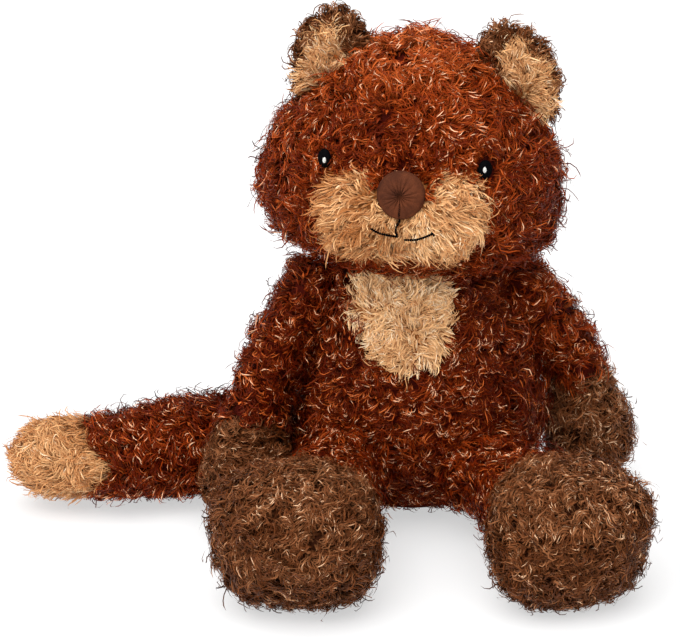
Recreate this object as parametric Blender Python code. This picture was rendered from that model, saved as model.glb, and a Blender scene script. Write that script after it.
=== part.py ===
"""Seated plush fox: furry skins sewn over stuffing, in metres with +Z up.

The toy sits on the flat of its seat at the origin and looks along -Y, so its own
left side is +X. Every skin is an open shell of furry cloth round its own stuffing.
"""

import math

import bmesh
import bpy
from mathutils import Matrix, Vector

# Cloth, seams and clearances
SKIN_THICKNESS = 0.003
LINING_THICKNESS = 0.0025
SEAM_GAP = 0.0004
SEAT_GAP = 0.0003
CORE_GAP = 0.0006
SOCKET_GAP = 0.0008
LIMB_GAP = 0.0013
FLOOR_FLAT = 0.0005

# Torso, a pear with a round neck dome
TORSO_HEIGHT = 0.152
TORSO_WIDTH = 0.132
TORSO_DEPTH = 0.108
NECK_RADIUS = 0.045
NECK_RISE = 0.026
PELLET_BAG_HEIGHT = 0.022
TORSO_STATION_SHARES = (
    (0.0, 0.46, 0.34),
    (0.04, 0.68, 0.47),
    (0.11, 0.85, 0.65),
    (0.21, 0.97, 0.85),
    (0.33, 1.0, 0.98),
    (0.47, 0.96, 0.97),
    (0.62, 0.87, 0.89),
    (0.76, 0.78, 0.84),
)
NECK_DOME_STEPS = 4

# Chest patch, a shield sewn on the front
PATCH_WIDTH = 0.054
PATCH_HEIGHT = 0.048
PATCH_TOP_SHARE = 0.905
PATCH_TURN = math.radians(-9)
PATCH_OUTLINE_SHARES = (
    (-0.46, 0.0),
    (0.46, 0.0),
    (0.5, -0.12),
    (0.49, -0.45),
    (0.36, -0.74),
    (0.14, -0.94),
    (0.0, -1.0),
    (-0.14, -0.94),
    (-0.36, -0.74),
    (-0.49, -0.45),
    (-0.5, -0.12),
)

# Head, an egg that is widest at the cheeks
HEAD_WIDTH = 0.154
HEAD_DEPTH = 0.118
HEAD_HEIGHT = 0.1215
HEAD_SINK = 0.015
HEAD_FORWARD = 0.012
HEAD_ASIDE = -0.0008
HEAD_TURN = math.radians(-8)
HEAD_ROLL = math.radians(1.8)
HEAD_STATION_SHARES = (
    (0.02, 0.36, 0.36),
    (0.07, 0.65, 0.64),
    (0.15, 0.86, 0.84),
    (0.26, 0.97, 0.96),
    (0.39, 1.0, 1.0),
    (0.51, 0.97, 0.99),
    (0.63, 0.88, 0.92),
    (0.75, 0.73, 0.80),
    (0.86, 0.53, 0.62),
    (0.95, 0.30, 0.38),
)

# Muzzle, nose, eyes and mouth, placed from the head's centre
MUZZLE_WIDTH = 0.084
MUZZLE_HEIGHT = 0.0465
MUZZLE_DEPTH = 0.044
MUZZLE_DROP = 0.0168
MUZZLE_FORWARD = 0.048
MUZZLE_ROLL = math.radians(-4.5)
MUZZLE_STATION_SHARES = (
    (-0.94, 0.42, 0.44),
    (-0.76, 0.78, 0.80),
    (-0.48, 1.0, 1.0),
    (-0.2, 0.98, 0.98),
    (0.0, 0.94, 0.93),
    (0.2, 0.98, 0.98),
    (0.48, 1.0, 1.0),
    (0.76, 0.78, 0.80),
    (0.94, 0.42, 0.44),
)
NOSE_DIAMETER = 0.0236
NOSE_THICKNESS = 0.014
NOSE_DROP = 0.0042
EYE_WIDTH = 0.0076
EYE_HEIGHT = 0.0098
EYE_THICKNESS = 0.006
EYE_SPACING = 0.078
EYE_ASIDE = -0.0006
EYE_LIFT = 0.0067
GLINT_WIDTH = 0.0022
GLINT_HEIGHT = 0.0034
GLINT_THICKNESS = 0.0016
GLINT_ASIDE = 0.0007
GLINT_LIFT = 0.0006
THREAD_DIAMETER = 0.0016
MOUTH_WIDTH = 0.030
MOUTH_ASIDE = 0.0018
MOUTH_DROP = 0.0250
MOUTH_CURL = 0.0022
PHILTRUM_TOP_DROP = 0.0176

# Ears, cupped ovals with a lighter lining
EAR_WIDTH = 0.043
EAR_HEIGHT = 0.058
EAR_THICKNESS = 0.012
EAR_LINING_WIDTH = 0.026
EAR_LINING_HEIGHT = 0.044
EAR_LINING_THICKNESS = 0.010
EAR_LINING_FORWARD = 0.004
EAR_LINING_ASIDE = 0.003
EAR_LINING_DROP = 0.004
EAR_CUP_DEPTH = 0.010
EAR_BACK = 0.004
LEFT_EAR_ASIDE = 0.0490
LEFT_EAR_LIFT = 0.0400
LEFT_EAR_LEAN = math.radians(-22)
RIGHT_EAR_ASIDE = 0.0437
RIGHT_EAR_LIFT = 0.0425
RIGHT_EAR_LEAN = math.radians(-7)

# Arms, each from the shoulder's centre to the paw's, which stands beside the torso
SHOULDER_HEIGHT_SHARE = 0.79
SHOULDER_RADIUS = 0.0175
SHOULDER_STAND_OFF = 0.0015
ARM_CREASE_RADIUS = 0.0165
ARM_RADIUS = 0.0175
PAW_WIDTH = 0.045
PAW_DEPTH = 0.044
PAW_TIP = 0.031
LEFT_PAW_ASIDE = 0.0292
LEFT_PAW_FORWARD = -0.0163
LEFT_PAW_HEIGHT = 0.034
LEFT_ARM_BOW = 0.0082
LEFT_WRIST_SHARE = 0.60
RIGHT_PAW_ASIDE = 0.0225
RIGHT_PAW_FORWARD = 0.042
RIGHT_PAW_HEIGHT = 0.031
RIGHT_ARM_BOW = 0.0065
RIGHT_WRIST_SHARE = 0.72

# Legs, from the hip's centre
HIP_SPACING_SHARE = 0.56
HIP_HEIGHT = 0.036
HIP_RADIUS = 0.025
HIP_STAND_OFF = 0.0036
LEG_CREASE_RADIUS = 0.0222
LEG_RADIUS = 0.0245
LEFT_LEG_REACH = 0.0855
LEFT_LEG_SPLAY = math.radians(25.5)
LEFT_FOOT_ROLL = math.radians(7)
RIGHT_LEG_REACH = 0.0875
RIGHT_LEG_SPLAY = math.radians(14.5)
RIGHT_FOOT_ROLL = math.radians(7)
FOOT_WIDTH = 0.083
FOOT_HEIGHT = 0.071
FOOT_TIP = 0.033
FOOT_SQUARENESS = 2.9
ANKLE_SHARE = 0.61

# Tail, lying on the floor and bent forward round the hip
TAIL_ROOT_ASIDE_SHARE = 0.272
TAIL_ROOT_RADIUS = 0.020
TAIL_CREASE_RADIUS = 0.0188
TAIL_DIAMETER = 0.0565
TAIL_TIP_DIAMETER = 0.043
TAIL_LENGTH = 0.176
TAIL_SEAM_SHARE = 0.70
TAIL_PATH_SHARES = (
    (0.0, 0.0),
    (0.17, 0.01),
    (0.32, -0.06),
    (0.45, -0.15),
    (0.64, -0.215),
    (0.84, -0.238),
    (1.0, -0.243),
)

# Facets
BODY_SEGMENTS = 24
LIMB_SEGMENTS = 16
SMALL_SEGMENTS = 12
SOCKET_SEGMENTS = 20
ROUND_STEPS = 4
PATH_STEPS = 8

# Colours, roughness and metallic value of each cloth
FINISHES = {
    "rust_plush": ((0.20, 0.045, 0.014, 1.0), 0.85, 0.0),
    "brown_plush": ((0.11, 0.055, 0.028, 1.0), 0.85, 0.0),
    "tan_plush": ((0.62, 0.36, 0.15, 1.0), 0.85, 0.0),
    "nose_suede": ((0.09, 0.035, 0.02, 1.0), 0.7, 0.0),
    "black_thread": ((0.012, 0.010, 0.010, 1.0), 0.35, 0.0),
    "white_thread": ((0.9, 0.9, 0.88, 1.0), 0.4, 0.0),
    "stuffing": ((0.85, 0.84, 0.80, 1.0), 0.95, 0.0),
    "pellet_cloth": ((0.72, 0.70, 0.64, 1.0), 0.9, 0.0),
}

PLAIN_OVAL = (0.0, 1.0, 2.0, 0.0)
PARTS = "plush_fox"
CUTTERS = "cutters"


def clear_scene():
    """Remove every object and make the two collections."""
    for item in list(bpy.data.objects):
        bpy.data.objects.remove(item, do_unlink=True)
    for name in (PARTS, CUTTERS):
        group = bpy.data.collections.new(name)
        bpy.context.scene.collection.children.link(group)


def make_material(node, finish):
    """Principled material of one node, in the colour of its cloth."""
    colour, roughness, metallic = FINISHES[finish]
    material = bpy.data.materials.new(node + "_" + finish)
    material.use_nodes = True
    shader = material.node_tree.nodes["Principled BSDF"]
    shader.inputs["Base Color"].default_value = colour
    shader.inputs["Roughness"].default_value = roughness
    shader.inputs["Metallic"].default_value = metallic
    return material


def add_part(name, mesh, finish, origin=None):
    """Link a mesh as a named part, with its origin moved to a joint's centre."""
    part = bpy.data.objects.new(name, mesh)
    bpy.data.collections[PARTS].objects.link(part)
    mesh.materials.append(make_material(name, finish))
    mesh.shade_smooth()
    if origin is not None:
        mesh.transform(Matrix.Translation(-origin))
        part.location = origin
    return part


def add_cutter(name, mesh):
    """Link a mesh as a cutter that the build leaves out."""
    cutter = bpy.data.objects.new(name, mesh)
    bpy.data.collections[CUTTERS].objects.link(cutter)
    cutter.hide_render = True
    cutter.display_type = "WIRE"
    return cutter


def cut(part, cutters, operation="DIFFERENCE"):
    """Put one exact Boolean on a part for each cutter."""
    for cutter in cutters:
        step = part.modifiers.new(cutter.name, "BOOLEAN")
        step.operation = operation
        step.solver = "EXACT"
        step.object = cutter


def mesh_from_rings(name, chains):
    """Skin chains of rings into one mesh; a ring of one point is a pole."""
    mesh = bpy.data.meshes.new(name)
    form = bmesh.new()
    for chain in chains:
        rows = [[form.verts.new(point) for point in ring] for ring in chain]
        for low, high in zip(rows, rows[1:]):
            count = max(len(low), len(high))
            for index in range(count):
                after = (index + 1) % count
                corners = [low[index % len(low)], low[after % len(low)],
                           high[after % len(high)], high[index % len(high)]]
                form.faces.new(list(dict.fromkeys(corners)))
    form.to_mesh(mesh)
    form.free()
    return mesh


def frame_at(path, distance):
    """Centre, tangent, across and up of a path at a distance along it.

    The path is a list of (distance, point), and runs straight on past both ends.
    Across stays level on a flat path, and square to the toy's front on a steep one.
    """
    index = 0
    while index < len(path) - 2 and path[index + 1][0] < distance:
        index += 1
    (start, first), (end, second) = path[index], path[index + 1]
    share = (distance - start) / (end - start)
    centre = first.lerp(second, share)
    before = path[max(index - 1, 0)][1]
    beyond = path[min(index + 2, len(path) - 1)][1]
    tangent = (second - before).normalized().lerp(
        (beyond - first).normalized(), min(max(share, 0.0), 1.0)).normalized()
    whole = path[-1][1] - path[0][1]
    steep = abs(whole.z) > math.hypot(whole.x, whole.y)
    guide = Vector((0, 1, 0)) if steep else Vector((0, 0, 1))
    across = guide.cross(tangent).normalized()
    return centre, tangent, across, tangent.cross(across)


def squared(value, power):
    """Value raised to a power without losing its sign."""
    return math.copysign(abs(value) ** power, value)


def section(path, station, segments, oval):
    """Ring of points of one oval station (distance, half across, half up).

    The oval is (start, end, squareness, roll): between the two distances the ring
    changes from an ellipse to a superellipse of that power, and it is rolled.
    """
    distance, half_across, half_up = station
    centre, tangent, across, up = frame_at(path, distance)
    if max(half_across, half_up) <= 0:
        return [centre]
    start, end, squareness, roll = oval
    share = min(max((distance - start) / (end - start), 0.0), 1.0)
    power = 2 / (2 + (squareness - 2) * share)
    turn = Matrix.Rotation(-roll, 3, tangent)
    ring = []
    for index in range(segments):
        angle = 2 * math.pi * index / segments
        offset = (across * (half_across * squared(math.cos(angle), power))
                  + up * (half_up * squared(math.sin(angle), power)))
        ring.append(centre + turn @ offset)
    return ring


def rings_of(path, profile, segments, oval=PLAIN_OVAL):
    """Rings of every station of a profile."""
    return [section(path, station, segments, oval) for station in profile]


def inset(profile, depth):
    """Profile moved inwards by a depth, square to its own line; outwards if negative."""
    moved = []
    for index, (distance, across, up) in enumerate(profile):
        before = profile[max(index - 1, 0)]
        after = profile[min(index + 1, len(profile) - 1)]
        run = after[0] - before[0]
        rise = (after[1] + after[2] - before[1] - before[2]) / 2
        length = math.hypot(run, rise)
        if max(across, up) <= 0:
            side = 1 if index == 0 else -1
            moved.append((distance + side * depth, 0.0, 0.0))
            continue
        moved.append((distance + depth * rise / length,
                      across - depth * run / length,
                      up - depth * run / length))
    return moved


def oval_at(profile, distance):
    """Half across and half up of a profile at a distance, between its stations."""
    for low, high in zip(profile, profile[1:]):
        if low[0] <= distance <= high[0] and high[0] > low[0]:
            share = (distance - low[0]) / (high[0] - low[0])
            return (low[1] + (high[1] - low[1]) * share,
                    low[2] + (high[2] - low[2]) * share)
    return profile[-1][1], profile[-1][2]


def before_distance(profile, distance):
    """Stations up to a distance, ended by one on it."""
    kept = [station for station in profile if station[0] < distance]
    return kept + [(distance, *oval_at(profile, distance))]


def past_distance(profile, distance):
    """Stations from a distance on, begun by one on it."""
    kept = [station for station in profile if station[0] > distance]
    return [(distance, *oval_at(profile, distance))] + kept


def round_end(distance, tip, across, up, steps, forward=True):
    """Stations of a rounded end, from its widest section to its pole."""
    side = 1 if forward else -1
    stations = []
    for step in range(1, steps + 1):
        angle = math.pi / 2 * step / steps
        closing = 0.0 if step == steps else math.cos(angle)
        stations.append((distance + side * tip * math.sin(angle),
                         across * closing, up * closing))
    return stations


def solid_mesh(name, path, profile, segments, oval=PLAIN_OVAL):
    """Closed form along a path."""
    return mesh_from_rings(name, [rings_of(path, profile, segments, oval)])


def hollow_mesh(name, path, profile, thickness, segments):
    """Closed skin with a closed hollow, which cutters open later."""
    outer = rings_of(path, profile, segments)
    inner = rings_of(path, inset(profile, thickness), segments)
    return mesh_from_rings(name, [outer, inner[::-1]])


def cup_mesh(name, path, outer, inner, segments, oval):
    """Skin from a closed end to an open rim and back on its inner side."""
    chain = (rings_of(path, outer, segments, oval)
             + rings_of(path, inner, segments, oval)[::-1])
    return mesh_from_rings(name, [chain])


def straight_path(start, end):
    """Path of one straight run."""
    return [(0.0, start), ((end - start).length, end)]


def smooth_path(points, steps):
    """Path on a Catmull-Rom curve through the points, with distances along it."""
    curve = []
    for index in range(len(points) - 1):
        before = points[max(index - 1, 0)]
        start = points[index]
        end = points[index + 1]
        after = points[min(index + 2, len(points) - 1)]
        for step in range(steps):
            t = step / steps
            curve.append((start * 2 + (end - before) * t
                          + (before * 2 - start * 5 + end * 4 - after) * t ** 2
                          + (start * 3 - before - end * 3 + after) * t ** 3) / 2)
    curve.append(points[-1])
    path = [(0.0, curve[0])]
    for low, high in zip(curve, curve[1:]):
        path.append((path[-1][0] + (high - low).length, high))
    return path


def ball_mesh(name, centre, radius, segments):
    """Sphere about a centre."""
    mesh = bpy.data.meshes.new(name)
    form = bmesh.new()
    bmesh.ops.create_uvsphere(form, u_segments=segments, v_segments=segments // 2,
                              radius=radius, matrix=Matrix.Translation(centre))
    form.to_mesh(mesh)
    form.free()
    return mesh


def oval_ball_mesh(name, halves, place, segments):
    """Sphere squashed to three half sizes, then placed."""
    mesh = ball_mesh(name, Vector(), 1.0, segments)
    mesh.transform(Matrix.Diagonal((*halves, 1.0)))
    mesh.transform(place)
    return mesh


def root_cutter(name, centre, radius):
    """Ball whose facets all lie outside a radius about a limb's root."""
    facing = math.cos(math.pi / SOCKET_SEGMENTS)
    return add_cutter(name, ball_mesh(name, centre, radius / facing ** 2, SOCKET_SEGMENTS))


def floor_cutter():
    """Block that trims what would press into the floor."""
    mesh = bpy.data.meshes.new("floor")
    form = bmesh.new()
    bmesh.ops.create_cube(form, size=1.0)
    form.to_mesh(mesh)
    form.free()
    side = 2 * (TORSO_WIDTH + TAIL_LENGTH + RIGHT_LEG_REACH + FOOT_TIP)
    mesh.transform(Matrix.Diagonal((side, side, FOOT_HEIGHT, 1.0)))
    mesh.transform(Matrix.Translation((0, 0, -FOOT_HEIGHT / 2)))
    return add_cutter("floor", mesh)


def torso_profile():
    """Stations of the torso from its flat seat to the top of the neck dome."""
    profile = [(0.0, 0.0, 0.0)]
    for height, width, depth in TORSO_STATION_SHARES:
        profile.append((height * TORSO_HEIGHT, width * TORSO_WIDTH / 2,
                        depth * TORSO_DEPTH / 2))
    dome_foot = TORSO_HEIGHT - NECK_RISE
    profile.append((dome_foot, NECK_RADIUS, NECK_RADIUS))
    return profile + round_end(dome_foot, NECK_RISE, NECK_RADIUS, NECK_RADIUS,
                               NECK_DOME_STEPS)


def torso_path():
    """Upright path through the middle of the torso."""
    return straight_path(Vector(), Vector((0, 0, TORSO_HEIGHT)))


def torso_front(aside, height):
    """Distance forward of the torso's skin at a place across and up it."""
    half_width, half_depth = oval_at(torso_profile(), height)
    return half_depth * math.sqrt(max(1 - (aside / half_width) ** 2, 0.0))


def shoulder_centre(side):
    """Centre of an arm's round root, on the torso's side."""
    height = SHOULDER_HEIGHT_SHARE * TORSO_HEIGHT
    half_width, _ = oval_at(torso_profile(), height)
    return Vector((side * (half_width + SHOULDER_STAND_OFF), 0, height))


def hip_centre(side):
    """Centre of a leg's round root, on the torso's front."""
    aside = HIP_SPACING_SHARE * TORSO_WIDTH / 2
    forward = torso_front(aside, HIP_HEIGHT) + HIP_STAND_OFF
    return Vector((side * aside, -forward, HIP_HEIGHT))


def tail_root_centre():
    """Centre of the tail's round root, on the torso's back."""
    height = TAIL_DIAMETER / 2 - FLOOR_FLAT
    aside = TAIL_ROOT_ASIDE_SHARE * TORSO_WIDTH
    return Vector((-aside, torso_front(aside, height), height))


def build_torso():
    """Torso skin, its stuffing and the pellet bag, and the room that they take."""
    path = torso_path()
    profile = torso_profile()
    roots = [
        ("left_shoulder", shoulder_centre(1), SHOULDER_RADIUS),
        ("right_shoulder", shoulder_centre(-1), SHOULDER_RADIUS),
        ("left_hip", hip_centre(1), HIP_RADIUS),
        ("right_hip", hip_centre(-1), HIP_RADIUS),
        ("tail_root", tail_root_centre(), TAIL_ROOT_RADIUS),
    ]
    sockets = [root_cutter(name + "_socket", centre, radius + SOCKET_GAP)
               for name, centre, radius in roots]
    balls = [root_cutter(name + "_ball", centre, radius) for name, centre, radius in roots]
    skin = add_part("torso_skin", hollow_mesh("torso_skin", path, profile, SKIN_THICKNESS,
                                              BODY_SEGMENTS), "rust_plush")
    inner = inset(profile, SKIN_THICKNESS + CORE_GAP)
    low = before_distance(inner, PELLET_BAG_HEIGHT) + [(PELLET_BAG_HEIGHT, 0.0, 0.0)]
    bag = add_part("pellet_bag", solid_mesh("pellet_bag", path, low, BODY_SEGMENTS),
                   "pellet_cloth")
    foot = PELLET_BAG_HEIGHT + SEAT_GAP
    high = [(foot, 0.0, 0.0)] + past_distance(inner, foot)
    core = add_part("torso_stuffing", solid_mesh("torso_stuffing", path, high, BODY_SEGMENTS),
                    "stuffing")
    for part in (skin, bag, core):
        cut(part, sockets if part is not bag else sockets[2:])
    grown = inset(profile, -LIMB_GAP)
    room = add_cutter("torso_room", solid_mesh("torso_room", path, grown, BODY_SEGMENTS))
    cut(room, balls)
    return room


def build_chest_patch():
    """Shield of lighter cloth that follows the front of the torso."""
    path = torso_path()
    inner = inset(torso_profile(), -SEAT_GAP)
    outer = inset(torso_profile(), -SEAT_GAP - LINING_THICKNESS)
    mesh = mesh_from_rings("chest_patch", [rings_of(path, outer, BODY_SEGMENTS),
                                           rings_of(path, inner, BODY_SEGMENTS)[::-1]])
    patch = add_part("chest_patch", mesh, "tan_plush")
    outline = bpy.data.curves.new("patch_outline", "CURVE")
    outline.dimensions = "2D"
    outline.fill_mode = "BOTH"
    outline.extrude = TORSO_DEPTH / 4
    spline = outline.splines.new("POLY")
    spline.points.add(len(PATCH_OUTLINE_SHARES) - 1)
    for point, (aside, height) in zip(spline.points, PATCH_OUTLINE_SHARES):
        point.co = (aside * PATCH_WIDTH, height * PATCH_HEIGHT, 0.0, 1.0)
    spline.use_cyclic_u = True
    stand = bpy.data.objects.new("patch_outline", outline)
    bpy.data.collections[CUTTERS].objects.link(stand)
    turn = Matrix.Rotation(PATCH_TURN, 4, "Z")
    lift = Matrix.Translation((0, -TORSO_DEPTH / 2, PATCH_TOP_SHARE * TORSO_HEIGHT))
    stand.matrix_world = turn @ lift @ Matrix.Rotation(math.pi / 2, 4, "X")
    shield = add_cutter("shield", mesh_of_curve(stand, THREAD_DIAMETER / 100))
    cut(patch, [shield], "INTERSECT")


def mesh_of_curve(curve, weld):
    """Welded world-space mesh of a curve object, which is then removed."""
    bpy.context.view_layer.update()
    evaluated = curve.evaluated_get(bpy.context.evaluated_depsgraph_get())
    mesh = bpy.data.meshes.new_from_object(evaluated)
    mesh.transform(curve.matrix_world)
    form = bmesh.new()
    form.from_mesh(mesh)
    bmesh.ops.remove_doubles(form, verts=form.verts, dist=weld)
    bmesh.ops.recalc_face_normals(form, faces=form.faces)
    form.to_mesh(mesh)
    form.free()
    bpy.data.objects.remove(curve, do_unlink=True)
    return mesh


def head_place():
    """Matrix from the head's own frame, at its centre, to the world."""
    height = TORSO_HEIGHT - HEAD_SINK + HEAD_HEIGHT / 2
    lift = Matrix.Translation((HEAD_ASIDE, -HEAD_FORWARD, height))
    return lift @ Matrix.Rotation(HEAD_TURN, 4, "Z") @ Matrix.Rotation(HEAD_ROLL, 4, "Y")


def head_profile():
    """Stations of the head along its own upright line, from chin to crown."""
    profile = [(-HEAD_HEIGHT / 2, 0.0, 0.0)]
    for height, width, depth in HEAD_STATION_SHARES:
        profile.append(((height - 0.5) * HEAD_HEIGHT, width * HEAD_WIDTH / 2,
                        depth * HEAD_DEPTH / 2))
    profile.append((HEAD_HEIGHT / 2, 0.0, 0.0))
    return profile


def head_path():
    """Upright path through the head's own centre."""
    return straight_path(Vector(), Vector((0, 0, HEAD_HEIGHT)))


def face_point(aside, height):
    """Point of the head's front skin and its outward direction, in its own frame."""
    half_width, half_depth = oval_at(head_profile(), height)
    forward = half_depth * math.sqrt(max(1 - (aside / half_width) ** 2, 0.0))
    outward = Vector((aside / half_width ** 2, -forward / half_depth ** 2, 0.0))
    return Vector((aside, -forward, height)), outward.normalized()


def placed(mesh, place):
    """Mesh moved by a matrix."""
    mesh.transform(place)
    return mesh


def neck_cutter():
    """Turned form that leaves the socket gap round the neck dome as the head turns."""
    facing = math.cos(math.pi / BODY_SEGMENTS)
    dome = NECK_RADIUS + SOCKET_GAP
    top = TORSO_HEIGHT - NECK_RISE
    profile = [(0.0, 0.0, 0.0), (0.0, dome / facing, dome / facing),
               (top, dome / facing, dome / facing)]
    profile += round_end(top, NECK_RISE + SOCKET_GAP, dome / facing, dome / facing,
                         NECK_DOME_STEPS)
    return add_cutter("neck_room", solid_mesh("neck_room", torso_path(), profile,
                                              BODY_SEGMENTS))


def head_cutter():
    """Head form grown by the seat gap, to seat the muzzle, ears and eyes on it."""
    grown = inset(head_profile(), -SEAT_GAP)
    mesh = solid_mesh("head_room", head_path(), grown, BODY_SEGMENTS)
    return add_cutter("head_room", placed(mesh, head_place()))


def build_head(neck):
    """Head skin and stuffing, open round the neck dome."""
    place = head_place()
    path = head_path()
    skin = placed(hollow_mesh("head_skin", path, head_profile(), SKIN_THICKNESS,
                              BODY_SEGMENTS), place)
    core = placed(solid_mesh("head_stuffing", path,
                             inset(head_profile(), SKIN_THICKNESS + CORE_GAP),
                             BODY_SEGMENTS), place)
    pivot = Vector((0, 0, TORSO_HEIGHT))
    cut(add_part("head_skin", skin, "rust_plush", pivot), [neck])
    cut(add_part("head_stuffing", core, "stuffing", pivot), [neck])


def muzzle_path():
    """Sideways path through the muzzle's middle, in the head's frame."""
    centre = Vector((0, -MUZZLE_FORWARD, -MUZZLE_DROP))
    half = Matrix.Rotation(MUZZLE_ROLL, 3, "Y") @ Vector((MUZZLE_WIDTH / 2, 0, 0))
    return [(-MUZZLE_WIDTH / 2, centre - half), (MUZZLE_WIDTH / 2, centre + half)]


def muzzle_profile():
    """Stations of the two-lobed muzzle from one cheek to the other."""
    half = MUZZLE_WIDTH / 2
    profile = [(-half, 0.0, 0.0)]
    for aside, depth, height in MUZZLE_STATION_SHARES:
        profile.append((aside * half, depth * MUZZLE_DEPTH / 2, height * MUZZLE_HEIGHT / 2))
    profile.append((half, 0.0, 0.0))
    return profile


def muzzle_front(aside, height):
    """Distance forward of the muzzle's skin, in the head's frame."""
    half_depth, half_height = oval_at(muzzle_profile(), aside)
    share = (height + MUZZLE_DROP + aside * math.tan(MUZZLE_ROLL)) / half_height
    return MUZZLE_FORWARD + half_depth * math.sqrt(max(1 - share * share, 0.0))


def build_muzzle(head_room):
    """Muzzle form seated on the face, and the room that it takes."""
    place = head_place()
    path = muzzle_path()
    mesh = placed(solid_mesh("muzzle", path, muzzle_profile(), LIMB_SEGMENTS), place)
    cut(add_part("muzzle", mesh, "tan_plush"), [head_room])
    grown = inset(muzzle_profile(), -SEAT_GAP)
    room = placed(solid_mesh("muzzle_room", path, grown, LIMB_SEGMENTS), place)
    return add_cutter("muzzle_room", room)


def build_nose(head_room, muzzle_room):
    """Round suede nose, gathered over a pad, at the top of the muzzle."""
    halves = (NOSE_DIAMETER / 2, NOSE_THICKNESS / 2, NOSE_DIAMETER / 2)
    centre = Vector((0, -muzzle_front(0.0, -NOSE_DROP), -NOSE_DROP))
    place = head_place() @ Matrix.Translation(centre)
    nose = add_part("nose_pad", oval_ball_mesh("nose_pad", halves, place, LIMB_SEGMENTS),
                    "nose_suede")
    cut(nose, [head_room, muzzle_room])


def build_eyes(head_room):
    """Two satin-stitched eyes, each with its white highlight."""
    for side, label in ((1, "left"), (-1, "right")):
        seat, outward = face_point(side * EYE_SPACING / 2 + EYE_ASIDE, EYE_LIFT)
        turn = Vector((0, -1, 0)).rotation_difference(outward).to_matrix().to_4x4()
        place = head_place() @ Matrix.Translation(seat) @ turn
        halves = (EYE_WIDTH / 2, EYE_THICKNESS / 2, EYE_HEIGHT / 2)
        eye = oval_ball_mesh("eye_" + label, halves, place, SMALL_SEGMENTS)
        cut(add_part("eye_" + label, eye, "black_thread"), [head_room])
        grown = tuple(half + SEAT_GAP for half in halves)
        room = add_cutter("eye_room_" + label,
                          oval_ball_mesh("eye_room_" + label, grown, place, SMALL_SEGMENTS))
        spot = Matrix.Translation((GLINT_ASIDE, -EYE_THICKNESS / 2, GLINT_LIFT))
        small = (GLINT_WIDTH / 2, GLINT_THICKNESS / 2, GLINT_HEIGHT / 2)
        glint = oval_ball_mesh("eye_glint_" + label, small, place @ spot, SMALL_SEGMENTS)
        cut(add_part("eye_glint_" + label, glint, "white_thread"), [room])


def thread_part(name, points, finish):
    """Sewn thread as a thin tube through points of the head's frame."""
    line = bpy.data.curves.new(name, "CURVE")
    line.dimensions = "3D"
    line.bevel_depth = THREAD_DIAMETER / 2
    line.bevel_resolution = 1
    line.use_fill_caps = True
    spline = line.splines.new("POLY")
    spline.points.add(len(points) - 1)
    for knot, point in zip(spline.points, points):
        knot.co = (*(head_place() @ point), 1.0)
    holder = bpy.data.objects.new(name + "_line", line)
    bpy.data.collections[CUTTERS].objects.link(holder)
    add_part(name, mesh_of_curve(holder, THREAD_DIAMETER / 100), finish)


def on_muzzle(aside, height):
    """Place of a thread's centre that lies on the muzzle."""
    stand_off = THREAD_DIAMETER / 2 + SEAT_GAP
    return Vector((aside, -muzzle_front(aside, height) - stand_off, height))


def build_mouth():
    """Smile of one thread, and the thread that falls to it from the nose."""
    smile = []
    for step in range(-PATH_STEPS, PATH_STEPS + 1):
        share = step / PATH_STEPS
        lift = MOUTH_CURL * (share * share - math.cos(math.pi * share) * 0.5 + 0.5)
        smile.append(on_muzzle(MOUTH_ASIDE + share * MOUTH_WIDTH / 2, lift - MOUTH_DROP))
    thread_part("mouth_thread", smile, "black_thread")
    top = -PHILTRUM_TOP_DROP
    foot = THREAD_DIAMETER + SEAT_GAP - MOUTH_DROP
    fall = []
    for step in range(ROUND_STEPS + 1):
        fall.append(on_muzzle(0.0, top + (foot - top) * step / ROUND_STEPS))
    thread_part("philtrum_thread", fall, "black_thread")


def bent_forward(mesh, half, bend):
    """Mesh whose points come forward with the square of their distance aside."""
    for vertex in mesh.vertices:
        share = vertex.co.x / half
        vertex.co.y -= bend * share * share
    return mesh


def ear_form(name, halves, middle, place):
    """Oval pad about a middle, cupped as the whole ear is, then placed."""
    pad = oval_ball_mesh(name, halves, Matrix.Translation(middle), LIMB_SEGMENTS)
    return placed(bent_forward(pad, EAR_WIDTH / 2, EAR_CUP_DEPTH), place)


def build_ear(side, label, aside, lift, lean, head_room):
    """One cupped ear: a brown back and a lighter lining."""
    seat = Vector((side * aside, EAR_BACK, lift))
    place = (head_place() @ Matrix.Translation(seat)
             @ Matrix.Rotation(side * lean, 4, "Y"))
    halves = (EAR_WIDTH / 2, EAR_THICKNESS / 2, EAR_HEIGHT / 2)
    back = ear_form("ear_back_" + label, halves, Vector(), place)
    cut(add_part("ear_back_" + label, back, "brown_plush"), [head_room])
    grown = tuple(half + SEAT_GAP for half in halves)
    room = add_cutter("ear_room_" + label,
                      ear_form("ear_room_" + label, grown, Vector(), place))
    middle = Vector((side * EAR_LINING_ASIDE, -EAR_LINING_FORWARD, -EAR_LINING_DROP))
    small = (EAR_LINING_WIDTH / 2, EAR_LINING_THICKNESS / 2, EAR_LINING_HEIGHT / 2)
    lining = ear_form("ear_lining_" + label, small, middle, place)
    cut(add_part("ear_lining_" + label, lining, "tan_plush"), [head_room, room])


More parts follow.
